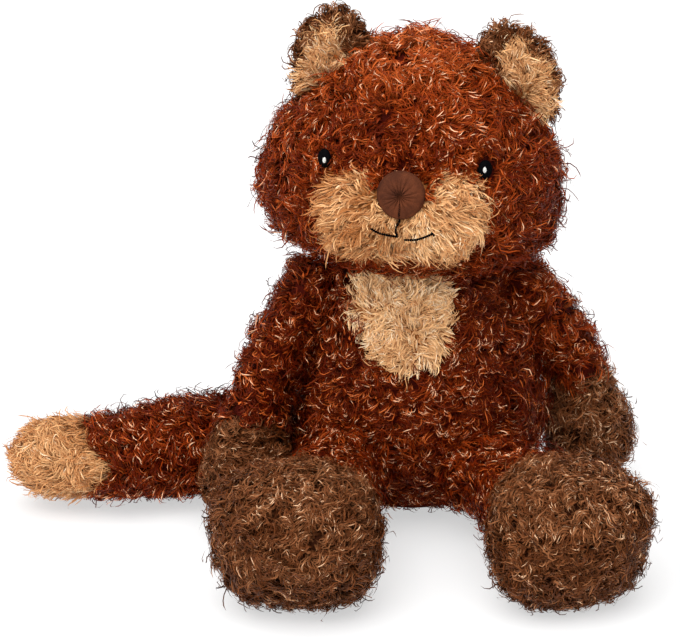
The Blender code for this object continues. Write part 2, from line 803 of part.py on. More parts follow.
def build_limb(names, finishes, path, profile, seam, pivot, torso_room, floor=None,
               oval=PLAIN_OVAL):
    """Sleeve, end piece and stuffing of one limb, split at its seam."""
    inner = inset(profile, SKIN_THICKNESS)
    edge = seam - SEAM_GAP / 2
    sleeve = cup_mesh(names[0], path, before_distance(profile, edge),
                      before_distance(inner, edge), LIMB_SEGMENTS, oval)
    edge = seam + SEAM_GAP / 2
    chain = (rings_of(path, past_distance(profile, edge)[::-1], LIMB_SEGMENTS, oval)
             + rings_of(path, past_distance(inner, edge), LIMB_SEGMENTS, oval))
    end = mesh_from_rings(names[1], [chain])
    end.flip_normals()
    core = solid_mesh(names[2], path, inset(profile, SKIN_THICKNESS + CORE_GAP),
                      LIMB_SEGMENTS, oval)
    for name, mesh, finish in zip(names, (sleeve, end, core), finishes):
        part = add_part(name, mesh, finish, pivot)
        if name != names[1]:
            cut(part, [torso_room])
        if floor and name != names[2]:
            cut(part, [floor])


def arm_profile(reach, wrist):
    """Stations of an arm from its round root to the tip of the paw."""
    root = round_end(0.0, SHOULDER_RADIUS, SHOULDER_RADIUS, SHOULDER_RADIUS, ROUND_STEPS,
                     False)[::-1]
    crease_share, full_share = 0.17, 0.45
    return root + [
        (0.0, SHOULDER_RADIUS, SHOULDER_RADIUS),
        (wrist * crease_share, ARM_CREASE_RADIUS, ARM_CREASE_RADIUS),
        (wrist * full_share, ARM_RADIUS, ARM_RADIUS),
        (wrist, ARM_RADIUS, ARM_RADIUS),
        ((wrist + reach) / 2, (PAW_WIDTH / 2 + ARM_RADIUS) / 2,
         (PAW_DEPTH / 2 + ARM_RADIUS) / 2),
        (reach, PAW_WIDTH / 2, PAW_DEPTH / 2),
    ] + round_end(reach, PAW_TIP, PAW_WIDTH / 2, PAW_DEPTH / 2, ROUND_STEPS)


def build_arm(side, label, paw, bow, wrist_share, torso_room):
    """One arm, bowed outwards from the shoulder to the paw."""
    aside, forward, height = paw
    start = shoulder_centre(side)
    end = Vector((side * (TORSO_WIDTH / 2 + aside), -forward, height))
    down = (end - start).normalized()
    outward = Vector((side, 0, 0))
    outward = (outward - down * outward.dot(down)).normalized()
    points = []
    for step in range(PATH_STEPS + 1):
        share = step / PATH_STEPS
        points.append(start.lerp(end, share) + outward * (bow * math.sin(math.pi * share)))
    path = smooth_path(points, 1)
    reach = path[-1][0]
    wrist = reach * wrist_share
    build_limb(("arm_sleeve_" + label, "paw_" + label, "arm_stuffing_" + label),
               ("rust_plush", "brown_plush", "stuffing"), path, arm_profile(reach, wrist),
               wrist, start, torso_room)


def leg_profile(reach, ankle):
    """Stations of a leg from its round root to the sole."""
    root = round_end(0.0, HIP_RADIUS, HIP_RADIUS, HIP_RADIUS, ROUND_STEPS, False)[::-1]
    half_width, half_height = FOOT_WIDTH / 2, FOOT_HEIGHT / 2
    crease_share, full_share, ankle_share, instep_share = 0.28, 0.65, 0.22, 0.8
    return root + [
        (0.0, HIP_RADIUS, HIP_RADIUS),
        (ankle * crease_share, LEG_CREASE_RADIUS, LEG_CREASE_RADIUS),
        (ankle * full_share, LEG_RADIUS, LEG_RADIUS),
        (ankle, LEG_RADIUS + (half_width - LEG_RADIUS) * ankle_share,
         LEG_RADIUS + (half_height - LEG_RADIUS) * ankle_share),
        ((ankle + reach) / 2, LEG_RADIUS + (half_width - LEG_RADIUS) * instep_share,
         LEG_RADIUS + (half_height - LEG_RADIUS) * instep_share),
        (reach, half_width, half_height),
    ] + round_end(reach, FOOT_TIP, half_width, half_height, ROUND_STEPS)


def build_leg(side, label, splay, reach, roll, torso_room, floor):
    """One leg, lying forward on the floor with its foot upright and rolled outwards."""
    start = hip_centre(side)
    dual = FOOT_SQUARENESS / (FOOT_SQUARENESS - 1)
    lowest = ((FOOT_WIDTH / 2 * abs(math.sin(roll))) ** dual
              + (FOOT_HEIGHT / 2 * math.cos(roll)) ** dual) ** (1 / dual)
    rise = lowest - FLOOR_FLAT - start.z
    level = math.sqrt(reach ** 2 - rise ** 2)
    end = start + Vector((side * math.sin(splay) * level, -math.cos(splay) * level, rise))
    ankle = reach * ANKLE_SHARE
    oval = (ankle / 2, reach, FOOT_SQUARENESS, side * roll)
    build_limb(("leg_sleeve_" + label, "foot_" + label, "leg_stuffing_" + label),
               ("rust_plush", "brown_plush", "stuffing"), straight_path(start, end),
               leg_profile(reach, ankle), ankle, start, torso_room, floor, oval)


def build_tail(torso_room, floor):
    """Tail and its light tip, lying on the floor on the toy's right."""
    start = tail_root_centre()
    points = [start + Vector((-aside * TAIL_LENGTH, back * TAIL_LENGTH, 0))
              for aside, back in TAIL_PATH_SHARES]
    path = smooth_path(points, ROUND_STEPS)
    length = path[-1][0]
    half, small = TAIL_DIAMETER / 2, TAIL_TIP_DIAMETER / 2
    crease_share, neck_share, full_share = 0.07, 0.19, 0.42
    profile = round_end(0.0, TAIL_ROOT_RADIUS, TAIL_ROOT_RADIUS, TAIL_ROOT_RADIUS,
                        ROUND_STEPS, False)[::-1]
    profile += [
        (0.0, TAIL_ROOT_RADIUS, TAIL_ROOT_RADIUS),
        (length * crease_share, TAIL_CREASE_RADIUS, TAIL_CREASE_RADIUS),
        (length * neck_share, TAIL_ROOT_RADIUS, TAIL_ROOT_RADIUS),
        (length * full_share, half, half),
        (length * (full_share + TAIL_SEAM_SHARE) / 2, half, half),
        (length * TAIL_SEAM_SHARE, (half + small) / 2, (half + small) / 2),
        (length - small, small, small),
    ]
    profile += round_end(length - small, small, small, small, ROUND_STEPS)
    build_limb(("tail_sleeve", "tail_tip", "tail_stuffing"),
               ("rust_plush", "tan_plush", "stuffing"), path, profile,
               length * TAIL_SEAM_SHARE, start, torso_room, floor)


def build_fox():
    """Every piece of the toy."""
    clear_scene()
    floor = floor_cutter()
    torso_room = build_torso()
    build_chest_patch()
    head_room = head_cutter()
    build_head(neck_cutter())
    muzzle_room = build_muzzle(head_room)
    build_nose(head_room, muzzle_room)
    build_eyes(head_room)
    build_mouth()
    build_ear(1, "left", LEFT_EAR_ASIDE, LEFT_EAR_LIFT, LEFT_EAR_LEAN, head_room)
    build_ear(-1, "right", RIGHT_EAR_ASIDE, RIGHT_EAR_LIFT, RIGHT_EAR_LEAN, head_room)
    build_arm(1, "left", (LEFT_PAW_ASIDE, LEFT_PAW_FORWARD, LEFT_PAW_HEIGHT),
              LEFT_ARM_BOW, LEFT_WRIST_SHARE, torso_room)
    build_arm(-1, "right", (RIGHT_PAW_ASIDE, RIGHT_PAW_FORWARD, RIGHT_PAW_HEIGHT),
              RIGHT_ARM_BOW, RIGHT_WRIST_SHARE, torso_room)
    build_leg(1, "left", LEFT_LEG_SPLAY, LEFT_LEG_REACH, LEFT_FOOT_ROLL, torso_room, floor)
    build_leg(-1, "right", RIGHT_LEG_SPLAY, RIGHT_LEG_REACH, RIGHT_FOOT_ROLL, torso_room,
              floor)
    build_tail(torso_room, floor)


build_fox()
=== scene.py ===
"""Looks of a seated plush fox with a curly coat.

Every furry form is a closed, lightly lumpy skin with a coat of curled yarn strands
grown on it. The face has satin-stitched eyes, a gathered suede nose and sewn threads.
The floor, the light and the camera follow the photograph.

Lengths are in metres. The toy looks along -Y, so its own left side is +X.
"""

import logging
import math
from dataclasses import dataclass, replace
from enum import Enum
from functools import cached_property
from typing import Callable, Optional

import bpy
import numpy as np
from mathutils import Matrix

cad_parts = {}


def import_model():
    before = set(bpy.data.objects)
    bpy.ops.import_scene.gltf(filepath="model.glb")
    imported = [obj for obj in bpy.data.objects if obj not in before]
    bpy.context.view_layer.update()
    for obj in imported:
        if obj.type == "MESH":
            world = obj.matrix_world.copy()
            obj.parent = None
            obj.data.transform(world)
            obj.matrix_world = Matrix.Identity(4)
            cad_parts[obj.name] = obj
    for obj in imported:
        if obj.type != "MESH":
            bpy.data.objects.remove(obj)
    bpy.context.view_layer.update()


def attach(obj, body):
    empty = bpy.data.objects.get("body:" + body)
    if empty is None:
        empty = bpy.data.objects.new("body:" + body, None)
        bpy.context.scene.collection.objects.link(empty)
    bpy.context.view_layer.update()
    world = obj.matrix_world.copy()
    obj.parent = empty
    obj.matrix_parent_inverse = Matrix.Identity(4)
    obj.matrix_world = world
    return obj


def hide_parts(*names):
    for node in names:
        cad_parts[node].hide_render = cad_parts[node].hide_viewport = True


LOG = logging.getLogger("plush_fox")

Array = np.ndarray
Socket = bpy.types.NodeSocket
Section = tuple[float, float, float]
FieldOf = Callable[[Array], Array]

FLOOR_CLEARANCE = 0.0025
LUMP_SIZE = 0.035
LINE_SAMPLES = 80
MAX_PIECE_TRIANGLES = 190000
STRAND_SHARES = np.array([0.0, 0.26, 0.47, 0.66, 0.83, 1.0])
# Loose strands stand out at the outline; their tone is lowered as painted shade.
LOOSE_LENGTH, LOOSE_WIDTH, LOOSE_PAINTED_SHADE = 1.45, 1.3, 0.14
UNDER_SHARES = np.array([0.0, 0.5, 1.0])
# The under coat's tones are scaled down as painted shade beneath the long coat.
UNDER_STRANDS, UNDER_SPREAD, UNDER_WIDTH, UNDER_PAINTED_SHADE = 4, 1.5, 3.6, 0.7
HALF_TEXEL = 0.0012
LEAN_SPREAD, BEND_SPREAD = 0.12, 0.2
SWING_SPREAD, TURN_SPREAD = 0.16, 0.16
WILD_SPREAD, WILD_TURN = 3.0, 1.5
BEND_END, TURN_START, WAVES_ON_STRAND = 0.85, 0.2, 1.2
ROLL_LIMIT, ROLL_DRIFT = 0.7, 0.6
TAPER = ([0.0, 0.2, 0.85, 1.0], [0.85, 1.0, 0.95, 0.1])
LEAST_TONE, MOST_TONE = 0.02, 0.98
LOCK_STEPS = (0.7548776662, 0.5698402910)


class Side(Enum):
    """The toy's own sides, with the sign of X on each."""

    LEFT = 1
    RIGHT = -1

    @property
    def label(self) -> str:
        """Name of the side as node names end with it."""
        return self.name.lower()

    def pick(self, left: object, right: object) -> object:
        """The value that belongs to this side."""
        return left if self is Side.LEFT else right


# Small array tools


def unit(vectors: Array) -> Array:
    """Vectors of length one, along the last axis."""
    return vectors / np.maximum(np.linalg.norm(vectors, axis=-1, keepdims=True), 1e-12)


def turned(points: Array, matrix: Matrix) -> Array:
    """Points moved by a 4 x 4 matrix."""
    table = np.array(matrix)
    return points @ table[:3, :3].T + table[:3, 3]


def turned_back(points: Array, matrix: Matrix) -> Array:
    """Points moved by the inverse of a matrix."""
    return turned(points, matrix.inverted())


def circle(count: int) -> Array:
    """Angles of a number of places round a circle."""
    return np.arange(count) * 2 * math.pi / count


def lens_shares(back: int, front: int) -> Array:
    """Column of ring sizes from a pad's back pole to its rim and its front pole."""
    return np.concatenate([np.linspace(0.0, 1.0, back),
                           np.linspace(1.0, 0.0, front)[1:]])[:, None]


def steps_of(line: Array) -> Array:
    """Length of each step of a line."""
    return np.linalg.norm(np.diff(line, axis=0), axis=1)


def distances(line: Array) -> Array:
    """Distance of each point of a line from its start."""
    return np.concatenate([[0.0], np.cumsum(steps_of(line))])


def at_distances(table: Array, keys: Array, wanted: Array) -> Array:
    """Rows of a table at wanted keys, between its own rows."""
    return np.stack([np.interp(wanted, keys, table[:, k]) for k in range(table.shape[1])], 1)


def spline(knots: Array, count: int, closes: tuple[bool, bool] = (False, False)) -> Array:
    """Catmull-Rom curve through knots.

    Args:
        knots: Rows of coordinates; the last columns are half widths where it closes.
        count: Samples between each pair of knots.
        closes: Whether each end is a pole, where the half widths pass through zero.

    Returns:
        Rows of points on the curve, both end knots among them.
    """
    mirror = np.array([1.0, -1.0, -1.0])
    first = knots[1] * mirror if closes[0] else knots[0] * 2 - knots[1]
    last = knots[-2] * mirror if closes[1] else knots[-1] * 2 - knots[-2]
    full = np.vstack([first, knots, last])
    share = (np.arange(count)[:, None] / count)[:, None]
    before, start, end, after = full[:-3], full[1:-2], full[2:-1], full[3:]
    rows = (start * 2 + (end - before) * share
            + (before * 2 - start * 5 + end * 4 - after) * share ** 2
            + (start * 3 - before - end * 3 + after) * share ** 3) / 2
    rows = rows.transpose(1, 0, 2).reshape(-1, knots.shape[1])
    return np.vstack([rows, knots[-1]])


def settled(height: Array) -> Array:
    """Heights pressed softly against the floor, so that none goes below it."""
    low = FLOOR_CLEARANCE
    return np.where(height < low, low * np.exp(np.clip((height - low) / low, -6, 0)), height)


class Ripples:
    """Smooth random field in space: a sum of sine waves with random directions."""

    WAVES = 9

    def __init__(self, size: float, seed: int) -> None:
        """Draw the waves.

        Args:
            size: Typical width of one patch of the field.
            seed: Seed of its directions and phases.
        """
        random = np.random.default_rng(seed)
        spread = random.uniform(0.6, 1.5, (self.WAVES, 1))
        self.directions = unit(random.normal(size=(self.WAVES, 3))) * spread * math.pi / size
        self.phases = random.uniform(0, 2 * math.pi, self.WAVES)

    def __call__(self, points: Array) -> Array:
        """Value at each point, mostly between -1 and 1."""
        waves = np.sin(points @ self.directions.T + self.phases)
        return waves.sum(-1) * 1.6 / math.sqrt(self.WAVES) / 1.4

    @staticmethod
    def vectors(size: float, seed: int) -> FieldOf:
        """Smooth random vector at each point."""
        parts = [Ripples(size, seed + k) for k in range(3)]
        return lambda points: np.stack([part(points) for part in parts], -1)


def closed_grid(points: Array) -> tuple[Array, Array]:
    """Surface of rings whose first and last rings are each one point.

    Args:
        points: Rows x columns x 3 places, each row a ring.

    Returns:
        The vertices, and the quads that join them, facing outwards.
    """
    rows, columns, _ = points.shape
    here = np.arange(rows * columns).reshape(rows, columns)
    next_to = np.roll(here, -1, 1)
    faces = np.stack([here[:-1], next_to[:-1], next_to[1:], here[1:]], -1).reshape(-1, 4)
    vertices = np.vstack([points[0, :1], points[1:-1].reshape(-1, 3), points[-1, :1]])
    number = np.arange(rows * columns) - columns + 1
    number[:columns] = 0
    number[-columns:] = len(vertices) - 1
    return vertices, number[faces]


def mesh_object(name: str, points: Array, faces: Array, material: bpy.types.Material,
                uvs: Optional[Array] = None) -> bpy.types.Object:
    """Object of one mesh from whole arrays.

    Args:
        name: Name of the object and its mesh.
        points: N x 3 vertex places.
        faces: M x 4 vertex numbers; a number twice in a row closes a corner.
        material: Finish of every face.
        uvs: M x 4 x 2 places on the texture, or None.

    Returns:
        The linked object, at the origin.
    """
    keep = faces != np.roll(faces, -1, axis=1)
    loops = faces[keep]
    starts = np.concatenate([[0], np.cumsum(keep.sum(1))[:-1]])
    mesh = bpy.data.meshes.new(name)
    mesh.vertices.add(len(points))
    mesh.vertices.foreach_set("co", points.astype(np.float32).ravel())
    mesh.loops.add(len(loops))
    mesh.loops.foreach_set("vertex_index", loops.astype(np.int32))
    mesh.polygons.add(len(faces))
    mesh.polygons.foreach_set("loop_start", starts.astype(np.int32))
    mesh.polygons.foreach_set("use_smooth", np.ones(len(faces), bool))
    if uvs is not None:
        layer = mesh.uv_layers.new(name="OFBake")
        layer.data.foreach_set("uv", uvs[keep].astype(np.float32).ravel())
    mesh.update(calc_edges=True)
    mesh.materials.append(material)
    thing = bpy.data.objects.new(name, mesh)
    bpy.context.scene.collection.objects.link(thing)
    LOG.info("%s: %d faces", name, len(faces))
    return thing


def add_piece(name: str, surface: tuple[Array, Array], material: bpy.types.Material,
              slot: str, body: str, *nodes: str, fill: Optional[float] = None,
              uvs: Optional[Array] = None) -> None:
    """Piece of the toy on one of its bodies.

    Args:
        name: Name of the piece.
        surface: Its vertices and faces.
        material: Its finish.
        slot: Its material slot; not used.
        body: The body that it moves with.
        nodes: CAD nodes that it stands for.
        fill: How full it is stuffed, for a padded piece; not used.
        uvs: Its places on the texture, or None.
    """
    piece = mesh_object(name, *surface, material, uvs)
    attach(piece, body)
    if nodes:
        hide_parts(*nodes)


# Finishes


def linear(red: float, green: float, blue: float) -> Array:
    """Linear colour of an sRGB colour on the 0 to 255 scale."""
    share = np.array([red, green, blue]) / 255
    return np.where(share <= 0.04045, share / 12.92, ((share + 0.055) / 1.055) ** 2.4)


class Nodes:
    """Short way to wire the shader of a material or of the world."""

    def __init__(self, owner: bpy.types.Material | bpy.types.World) -> None:
        """Take the tree of a new material or world."""
        owner.use_nodes = True
        self.owner, self.tree = owner, owner.node_tree

    def feed(self, node: bpy.types.Node, inputs: dict[str | int, object]) -> bpy.types.Node:
        """Inputs of a node, by name or number: a socket is linked, a value set.

        Args:
            node: Node whose inputs are fed.
            inputs: Sockets or values by input.

        Returns:
            The same node.
        """
        for key, value in inputs.items():
            if isinstance(value, Socket):
                self.tree.links.new(value, node.inputs[key])
            else:
                node.inputs[key].default_value = value
        return node

    def add(self, kind: str, inputs: Optional[dict[str | int, object]] = None,
            **values: object) -> bpy.types.Node:
        """New node with its properties set and its inputs fed.

        Args:
            kind: Its type, without ShaderNode.
            inputs: What its inputs take, or None.
            values: Its properties.

        Returns:
            The node.
        """
        node = self.tree.nodes.new("ShaderNode" + kind)
        for key, value in values.items():
            setattr(node, key, value)
        return self.feed(node, inputs or {})

    def finish(self, node: str, inputs: dict[str | int, object]) -> bpy.types.Material:
        """Feed a node that the tree came with, and give back the tree's owner."""
        self.feed(self.tree.nodes[node], inputs)
        return self.owner

    def ramp(self, source: Socket, *stops: tuple[float, Array | float]) -> Socket:
        """Colour ramp through stops of (position, colour or grey).

        Args:
            source: Socket that drives the ramp.
            stops: Its stops, in order.

        Returns:
            The colour socket.
        """
        node = self.add("ValToRGB", {"Fac": source})
        ends = node.color_ramp.elements
        while len(ends) < len(stops):
            ends.new(0.5)
        for end, (position, colour) in zip(ends, stops):
            end.position = position
            end.color = (*np.broadcast_to(colour, 3), 1.0)
        return node.outputs["Color"]

    def noise(self, scale: float, detail: float) -> Socket:
        """Noise of a scale in the object's own space.

        Args:
            scale: Waves in a metre.
            detail: Number of finer octaves.

        Returns:
            The value socket.
        """
        place = self.add("TexCoord").outputs["Object"]
        return self.add("TexNoise", {"Vector": place, "Scale": scale, "Detail": detail}
                        ).outputs["Fac"]

    def math(self, operation: str, first: Socket, second: Socket | float) -> Socket:
        """Result of an operation on two values."""
        return self.add("Math", {0: first, 1: second}, operation=operation).outputs["Value"]

    def tinted(self, first: Socket, second: Socket) -> Socket:
        """One colour times the other."""
        return self.add("Mix", {"Factor": 1.0, "A": first, "B": second}, data_type="RGBA",
                        blend_type="MULTIPLY").outputs["Result"]

    def relief(self, scale: float, detail: float, depth: float, strength: float) -> Socket:
        """Normal bent by a fine noise."""
        return self.add("Bump", {"Height": self.noise(scale, detail), "Distance": depth,
                                 "Strength": strength}).outputs["Normal"]


@dataclass(frozen=True)
class Yarn:
    """Curled yarn of a coat: its colours from the darkest to the palest strands; the dark end
    serves for painted shade and the pale end for painted highlights.
    """

    name: str
    slot: str
    dark: Array
    mid: Array
    bright: Array
    gleam: Array
    roughness: float = 0.3
    gloss: float = 0.32
    root_painted_shade: float = 0.32
    painted_highlight_from: float = 0.58

    @cached_property
    def strands(self) -> bpy.types.Material:
        """Material of the strands.

        The texture's u is a strand's own shade and v runs from its root to its tip. A
        shade above the highlight threshold is a painted highlight, shown only on the
        strand's middle, where it bends over. Towards the root the colour darkens as
        painted shade.

        Returns:
            The material.
        """
        nodes = Nodes(bpy.data.materials.new(self.name + "_yarn"))
        place = nodes.add("UVMap", uv_map="OFBake").outputs["UV"]
        tone, height, _ = nodes.add("SeparateXYZ", {"Vector": place}).outputs
        # Painted highlight: a tone above the highlight threshold is paler only over the
        # strand's middle.
        painted_highlight_band = nodes.ramp(height, (0.3, 0.0), (0.5, 1.0), (0.7, 1.0), (0.9, 0.0))
        plain = nodes.math("MINIMUM", tone, self.painted_highlight_from)
        over = nodes.math("SUBTRACT", tone, plain)
        toned = nodes.math("ADD", plain, nodes.math("MULTIPLY", over, painted_highlight_band))
        # The palest stop, gleam, colours the painted highlights; it also tints the specular.
        shade = nodes.ramp(toned, (0.0, self.dark), (0.4, self.mid), (0.76, self.bright),
                           (1.0, self.gleam))
        # Painted shade: each strand darkens towards its root, where the pile shades it.
        root = self.root_painted_shade
        rise = nodes.ramp(height, (0.0, root), (0.25, (root + 1) / 2), (0.5, 0.96), (1.0, 1.0))
        return nodes.finish("Principled BSDF", {
            "Base Color": nodes.tinted(shade, rise), "Roughness": self.roughness,
            "Specular IOR Level": self.gloss, "Specular Tint": (*self.gleam, 1.0)})

    @cached_property
    def cloth(self) -> bpy.types.Material:
        """Material of the knitted skin under the strands; its colour is the yarn's dark colour,
        darkened further as painted shade in the gaps between locks.
        """
        nodes = Nodes(bpy.data.materials.new(self.name + "_cloth"))
        # Painted shade: the skin takes 45 to 90 percent of the yarn's dark colour.
        colour = nodes.ramp(nodes.noise(60.0, 4.0), (0.3, self.dark * 0.45),
                            (0.7, self.dark * 0.9))
        return nodes.finish("Principled BSDF", {
            "Base Color": colour, "Normal": nodes.relief(900.0, 2.0, 0.0006, 0.8),
            "Roughness": 0.9, "Specular IOR Level": 0.1})


@dataclass(frozen=True)
class Thread:
    """Satin or sewing thread in one colour, with fine fibre relief."""

    name: str
    slot: str
    colour: Array
    fleck: Array
    roughness: float = 0.6
    gloss: float = 0.2

    @cached_property
    def material(self) -> bpy.types.Material:
        """Material of the thread.

        Returns:
            The material.
        """
        nodes = Nodes(bpy.data.materials.new(self.name))
        colour = nodes.ramp(nodes.noise(1800.0, 3.0), (0.35, self.colour), (0.75, self.fleck))
        return nodes.finish("Principled BSDF", {
            "Base Color": colour, "Normal": nodes.relief(5000.0, 1.0, 0.0001, 0.5),
            "Roughness": self.roughness, "Specular IOR Level": self.gloss})


@dataclass(frozen=True)
class Suede:
    """Brushed suede with worn patches and a fine nap."""

    name: str
    slot: str
    dark: Array
    light: Array
    roughness: float = 0.85

    @cached_property
    def material(self) -> bpy.types.Material:
        """Material of the suede.

        Returns:
            The material.
        """
        nodes = Nodes(bpy.data.materials.new(self.name))
        patches = nodes.ramp(nodes.noise(140.0, 5.0), (0.3, self.dark), (0.7, self.light))
        nap = nodes.ramp(nodes.noise(2600.0, 2.0), (0.3, 0.72), (0.7, 1.12))
        return nodes.finish("Principled BSDF", {
            "Base Color": nodes.tinted(patches, nap), "Roughness": self.roughness,
            "Normal": nodes.relief(3200.0, 2.0, 0.00025, 0.7), "Specular IOR Level": 0.15,
            "Sheen Weight": 0.12, "Sheen Tint": (*self.light, 1.0)})


RUST = Yarn("rust", "rust_plush", linear(78, 12, 0), linear(142, 50, 8),
            linear(208, 102, 44), linear(255, 204, 164), roughness=0.4, gloss=0.12)
BROWN = Yarn("brown", "brown_plush", linear(60, 24, 4), linear(106, 56, 27),
             linear(162, 106, 68), linear(240, 196, 156), roughness=0.4, gloss=0.2)
TAN = Yarn("tan", "tan_plush", linear(172, 104, 52), linear(216, 158, 104),
           linear(252, 202, 144), linear(255, 232, 196), root_painted_shade=0.6, painted_highlight_from=0.85)
SUEDE = Suede("nose_suede", "nose_suede", linear(62, 28, 13), linear(102, 52, 28))
BLACK = Thread("black_stitching", "black_thread", linear(3, 3, 4), linear(9, 9, 11), gloss=0.02)
WHITE = Thread("white_stitching", "white_thread", linear(205, 205, 200), linear(222, 222, 216))


# Soft forms


def round_end(distance: float, tip: float, across: float, up: float) -> list[Section]:
    """Stations of a rounded end, from its widest section to its pole.

    Args:
        distance: Place of the widest section along the line.
        tip: How far the end goes on from there, below zero for a backward end.
        across: Half width of the widest section.
        up: Half height of the widest section.

    Returns:
        Three sections on an ellipse, then the pole.
    """
    rows = [(distance + tip * math.sin(angle), across * math.cos(angle),
             up * math.cos(angle)) for angle in (math.pi / 8, math.pi / 4, math.pi * 3 / 8)]
    return rows + [(distance + tip, 0.0, 0.0)]


def round_root(radius: float) -> list[Section]:
    """Stations of a ball-shaped root, from its pole to its section at distance zero."""
    return round_end(0.0, -radius, radius, radius)[::-1] + [(0.0, radius, radius)]


def scaled(shares: tuple[Section, ...], *sizes: float) -> list[Section]:
    """Stations from shares of three sizes."""
    return (np.array(shares) * sizes).tolist()


@dataclass
class Form:
    """Soft form with oval sections along a centre line.

    A point of its skin is centre(s) + across(s) * a(s) * cos(q) + up(s) * b(s) * sin(q),
    where s is the distance along the line, q the angle round it, and a and b are
    Catmull-Rom curves through the stations, moved inwards by the wanted depth. A square
    above 2 turns the ovals into superellipses, more so from one distance to the other,
    and a roll turns them about the line.
    """

    line: Array
    stations: list[Section]
    lump: float = 0.0012
    seed: int = 1
    square: float = 2.0
    square_between: tuple[float, float] = (0.0, 1.0)
    roll: float = 0.0

    def __post_init__(self) -> None:
        """Measure the line and smooth the stations."""
        self.line = np.array(self.line, float)
        self.reach = distances(self.line)
        knots = np.array(self.stations, float)
        self.profile = spline(knots, 8, (knots[0, 1] <= 0, knots[-1, 1] <= 0))
        whole = self.line[-1] - self.line[0]
        steep = abs(whole[2]) > math.hypot(whole[0], whole[1])
        self.guide = np.array([0.0, 1.0, 0.0] if steep else [0.0, 0.0, 1.0])
        self.lumps = Ripples(LUMP_SIZE, self.seed)

    def frames(self, distance: Array) -> tuple[Array, Array, Array, Array]:
        """Axes along the line, which goes straight on past both ends.

        Args:
            distance: Distances along the line.

        Returns:
            Centre, tangent, across and up at each distance.
        """
        slopes = unit(np.gradient(self.line, self.reach, axis=0))
        tangent = unit(at_distances(slopes, self.reach, distance))
        over = distance - np.clip(distance, 0.0, self.reach[-1])
        centre = at_distances(self.line, self.reach, distance) + tangent * over[:, None]
        across = unit(np.cross(self.guide, tangent))
        up = np.cross(tangent, across)
        c, s = math.cos(self.roll), math.sin(self.roll)
        return centre, tangent, across * c - up * s, up * c + across * s

    def power(self, distance: Array) -> Array:
        """Power of the superellipse at each distance; 2 is an ellipse."""
        return np.interp(distance, self.square_between, [2.0, self.square])

    def inset(self, depth: float) -> Array:
        """Profile moved inwards by a depth, square to its own line.

        Args:
            depth: How far it moves inwards.

        Returns:
            Rows of distance, half width, half height.
        """
        run = np.gradient(self.profile[:, 0])
        rise = np.gradient((self.profile[:, 1] + self.profile[:, 2]) / 2)
        length = np.maximum(np.hypot(run, rise), 1e-9)
        moved = self.profile.copy()
        moved[:, 0] += depth * rise / length
        moved[:, 1:] -= (depth * run / length)[:, None]
        moved[:, 1:] = np.maximum(moved[:, 1:], 0.0)
        for end in (0, -1):
            if self.profile[end, 1] <= 0:
                moved[end, 1:] = 0.0
        return moved

    def rings(self, depth: float, columns: int, start: float = -math.inf,
              end: float = math.inf) -> Array:
        """Rings of the skin, with no caps.

        Args:
            depth: How far the skin lies inside the CAD solid's face.
            columns: Points of each ring.
            start: Distance of the first ring, at the least.
            end: Distance of the last ring, at the most.

        Returns:
            Rows x columns x 3 places.
        """
        rows = self.inset(depth)
        rows = rows[np.concatenate([[True], np.diff(rows[:, 0]) > 1e-6])]
        low, high = max(start, rows[0, 0]), min(end, rows[-1, 0])
        inner = rows[(rows[:, 0] > low + 1e-4) & (rows[:, 0] < high - 1e-4)]
        ends = at_distances(rows, rows[:, 0], np.array([low, high]))
        rows = np.vstack([ends[:1], inner, ends[1:]])
        centre, _, across, up = self.frames(rows[:, 0])
        bend = 2 / self.power(rows[:, 0])[:, None]
        along, over = (np.sign(part) * np.abs(part) ** bend
                       for part in (np.cos(circle(columns)), np.sin(circle(columns))))
        ring = (centre[:, None] + across[:, None] * (rows[:, 1, None] * along)[..., None]
                + up[:, None] * (rows[:, 2, None] * over)[..., None])
        out = unit(ring - centre[:, None] + 1e-9)
        return ring + out * (self.lumps(ring) * self.lump)[..., None]

    def skin(self, depth: float, columns: int, start: float = -math.inf,
             end: float = math.inf) -> Array:
        """Rings as above, closed by a pole at each end.

        Args:
            depth: How far the skin lies inside the CAD solid's face.
            columns: Points of each ring.
            start: Distance of the first ring, at the least.
            end: Distance of the last ring, at the most.

        Returns:
            Rows x columns x 3 places.
        """
        ring = self.rings(depth, columns, start, end)
        first, last = ([np.broadcast_to(edge.mean(0), edge.shape)[None]]
                       if np.ptp(edge, axis=0).max() > 1e-6 else []
                       for edge in (ring[0], ring[-1]))
        return np.concatenate([*first, ring, *last])

    def beside(self, points: Array) -> tuple[Array, Array, Array]:
        """Distance along the line of each point, and its offsets across and up.

        Args:
            points: N x 3 places.

        Returns:
            N distances, N offsets across and N offsets up.
        """
        distance = np.linspace(self.profile[0, 0], self.profile[-1, 0], LINE_SAMPLES)
        centre, *axes = self.frames(distance)
        near = ((points[:, None] - centre[None]) ** 2).sum(-1).argmin(1)
        offset = points - centre[near]
        ahead, aside, over = ((offset * axis[near]).sum(1) for axis in axes)
        return distance[near] + ahead, aside, over

    def holds(self, points: Array, grow: float = 0.0) -> Array:
        """Whether each point lies inside the form, grown by a margin.

        Args:
            points: Places to ask about.
            grow: Margin, below zero to shrink the form.

        Returns:
            One truth value for each point.
        """
        place, aside, over = self.beside(points)
        half = at_distances(self.profile, self.profile[:, 0], place)[:, 1:] + grow
        wide, tall = np.maximum(half, 1e-5).T
        power = self.power(place)
        within = (np.abs(aside) / wide) ** power + (np.abs(over) / tall) ** power < 1
        return (within & (place > self.profile[0, 0] - grow)
                & (place < self.profile[-1, 0] + grow))


# Coats


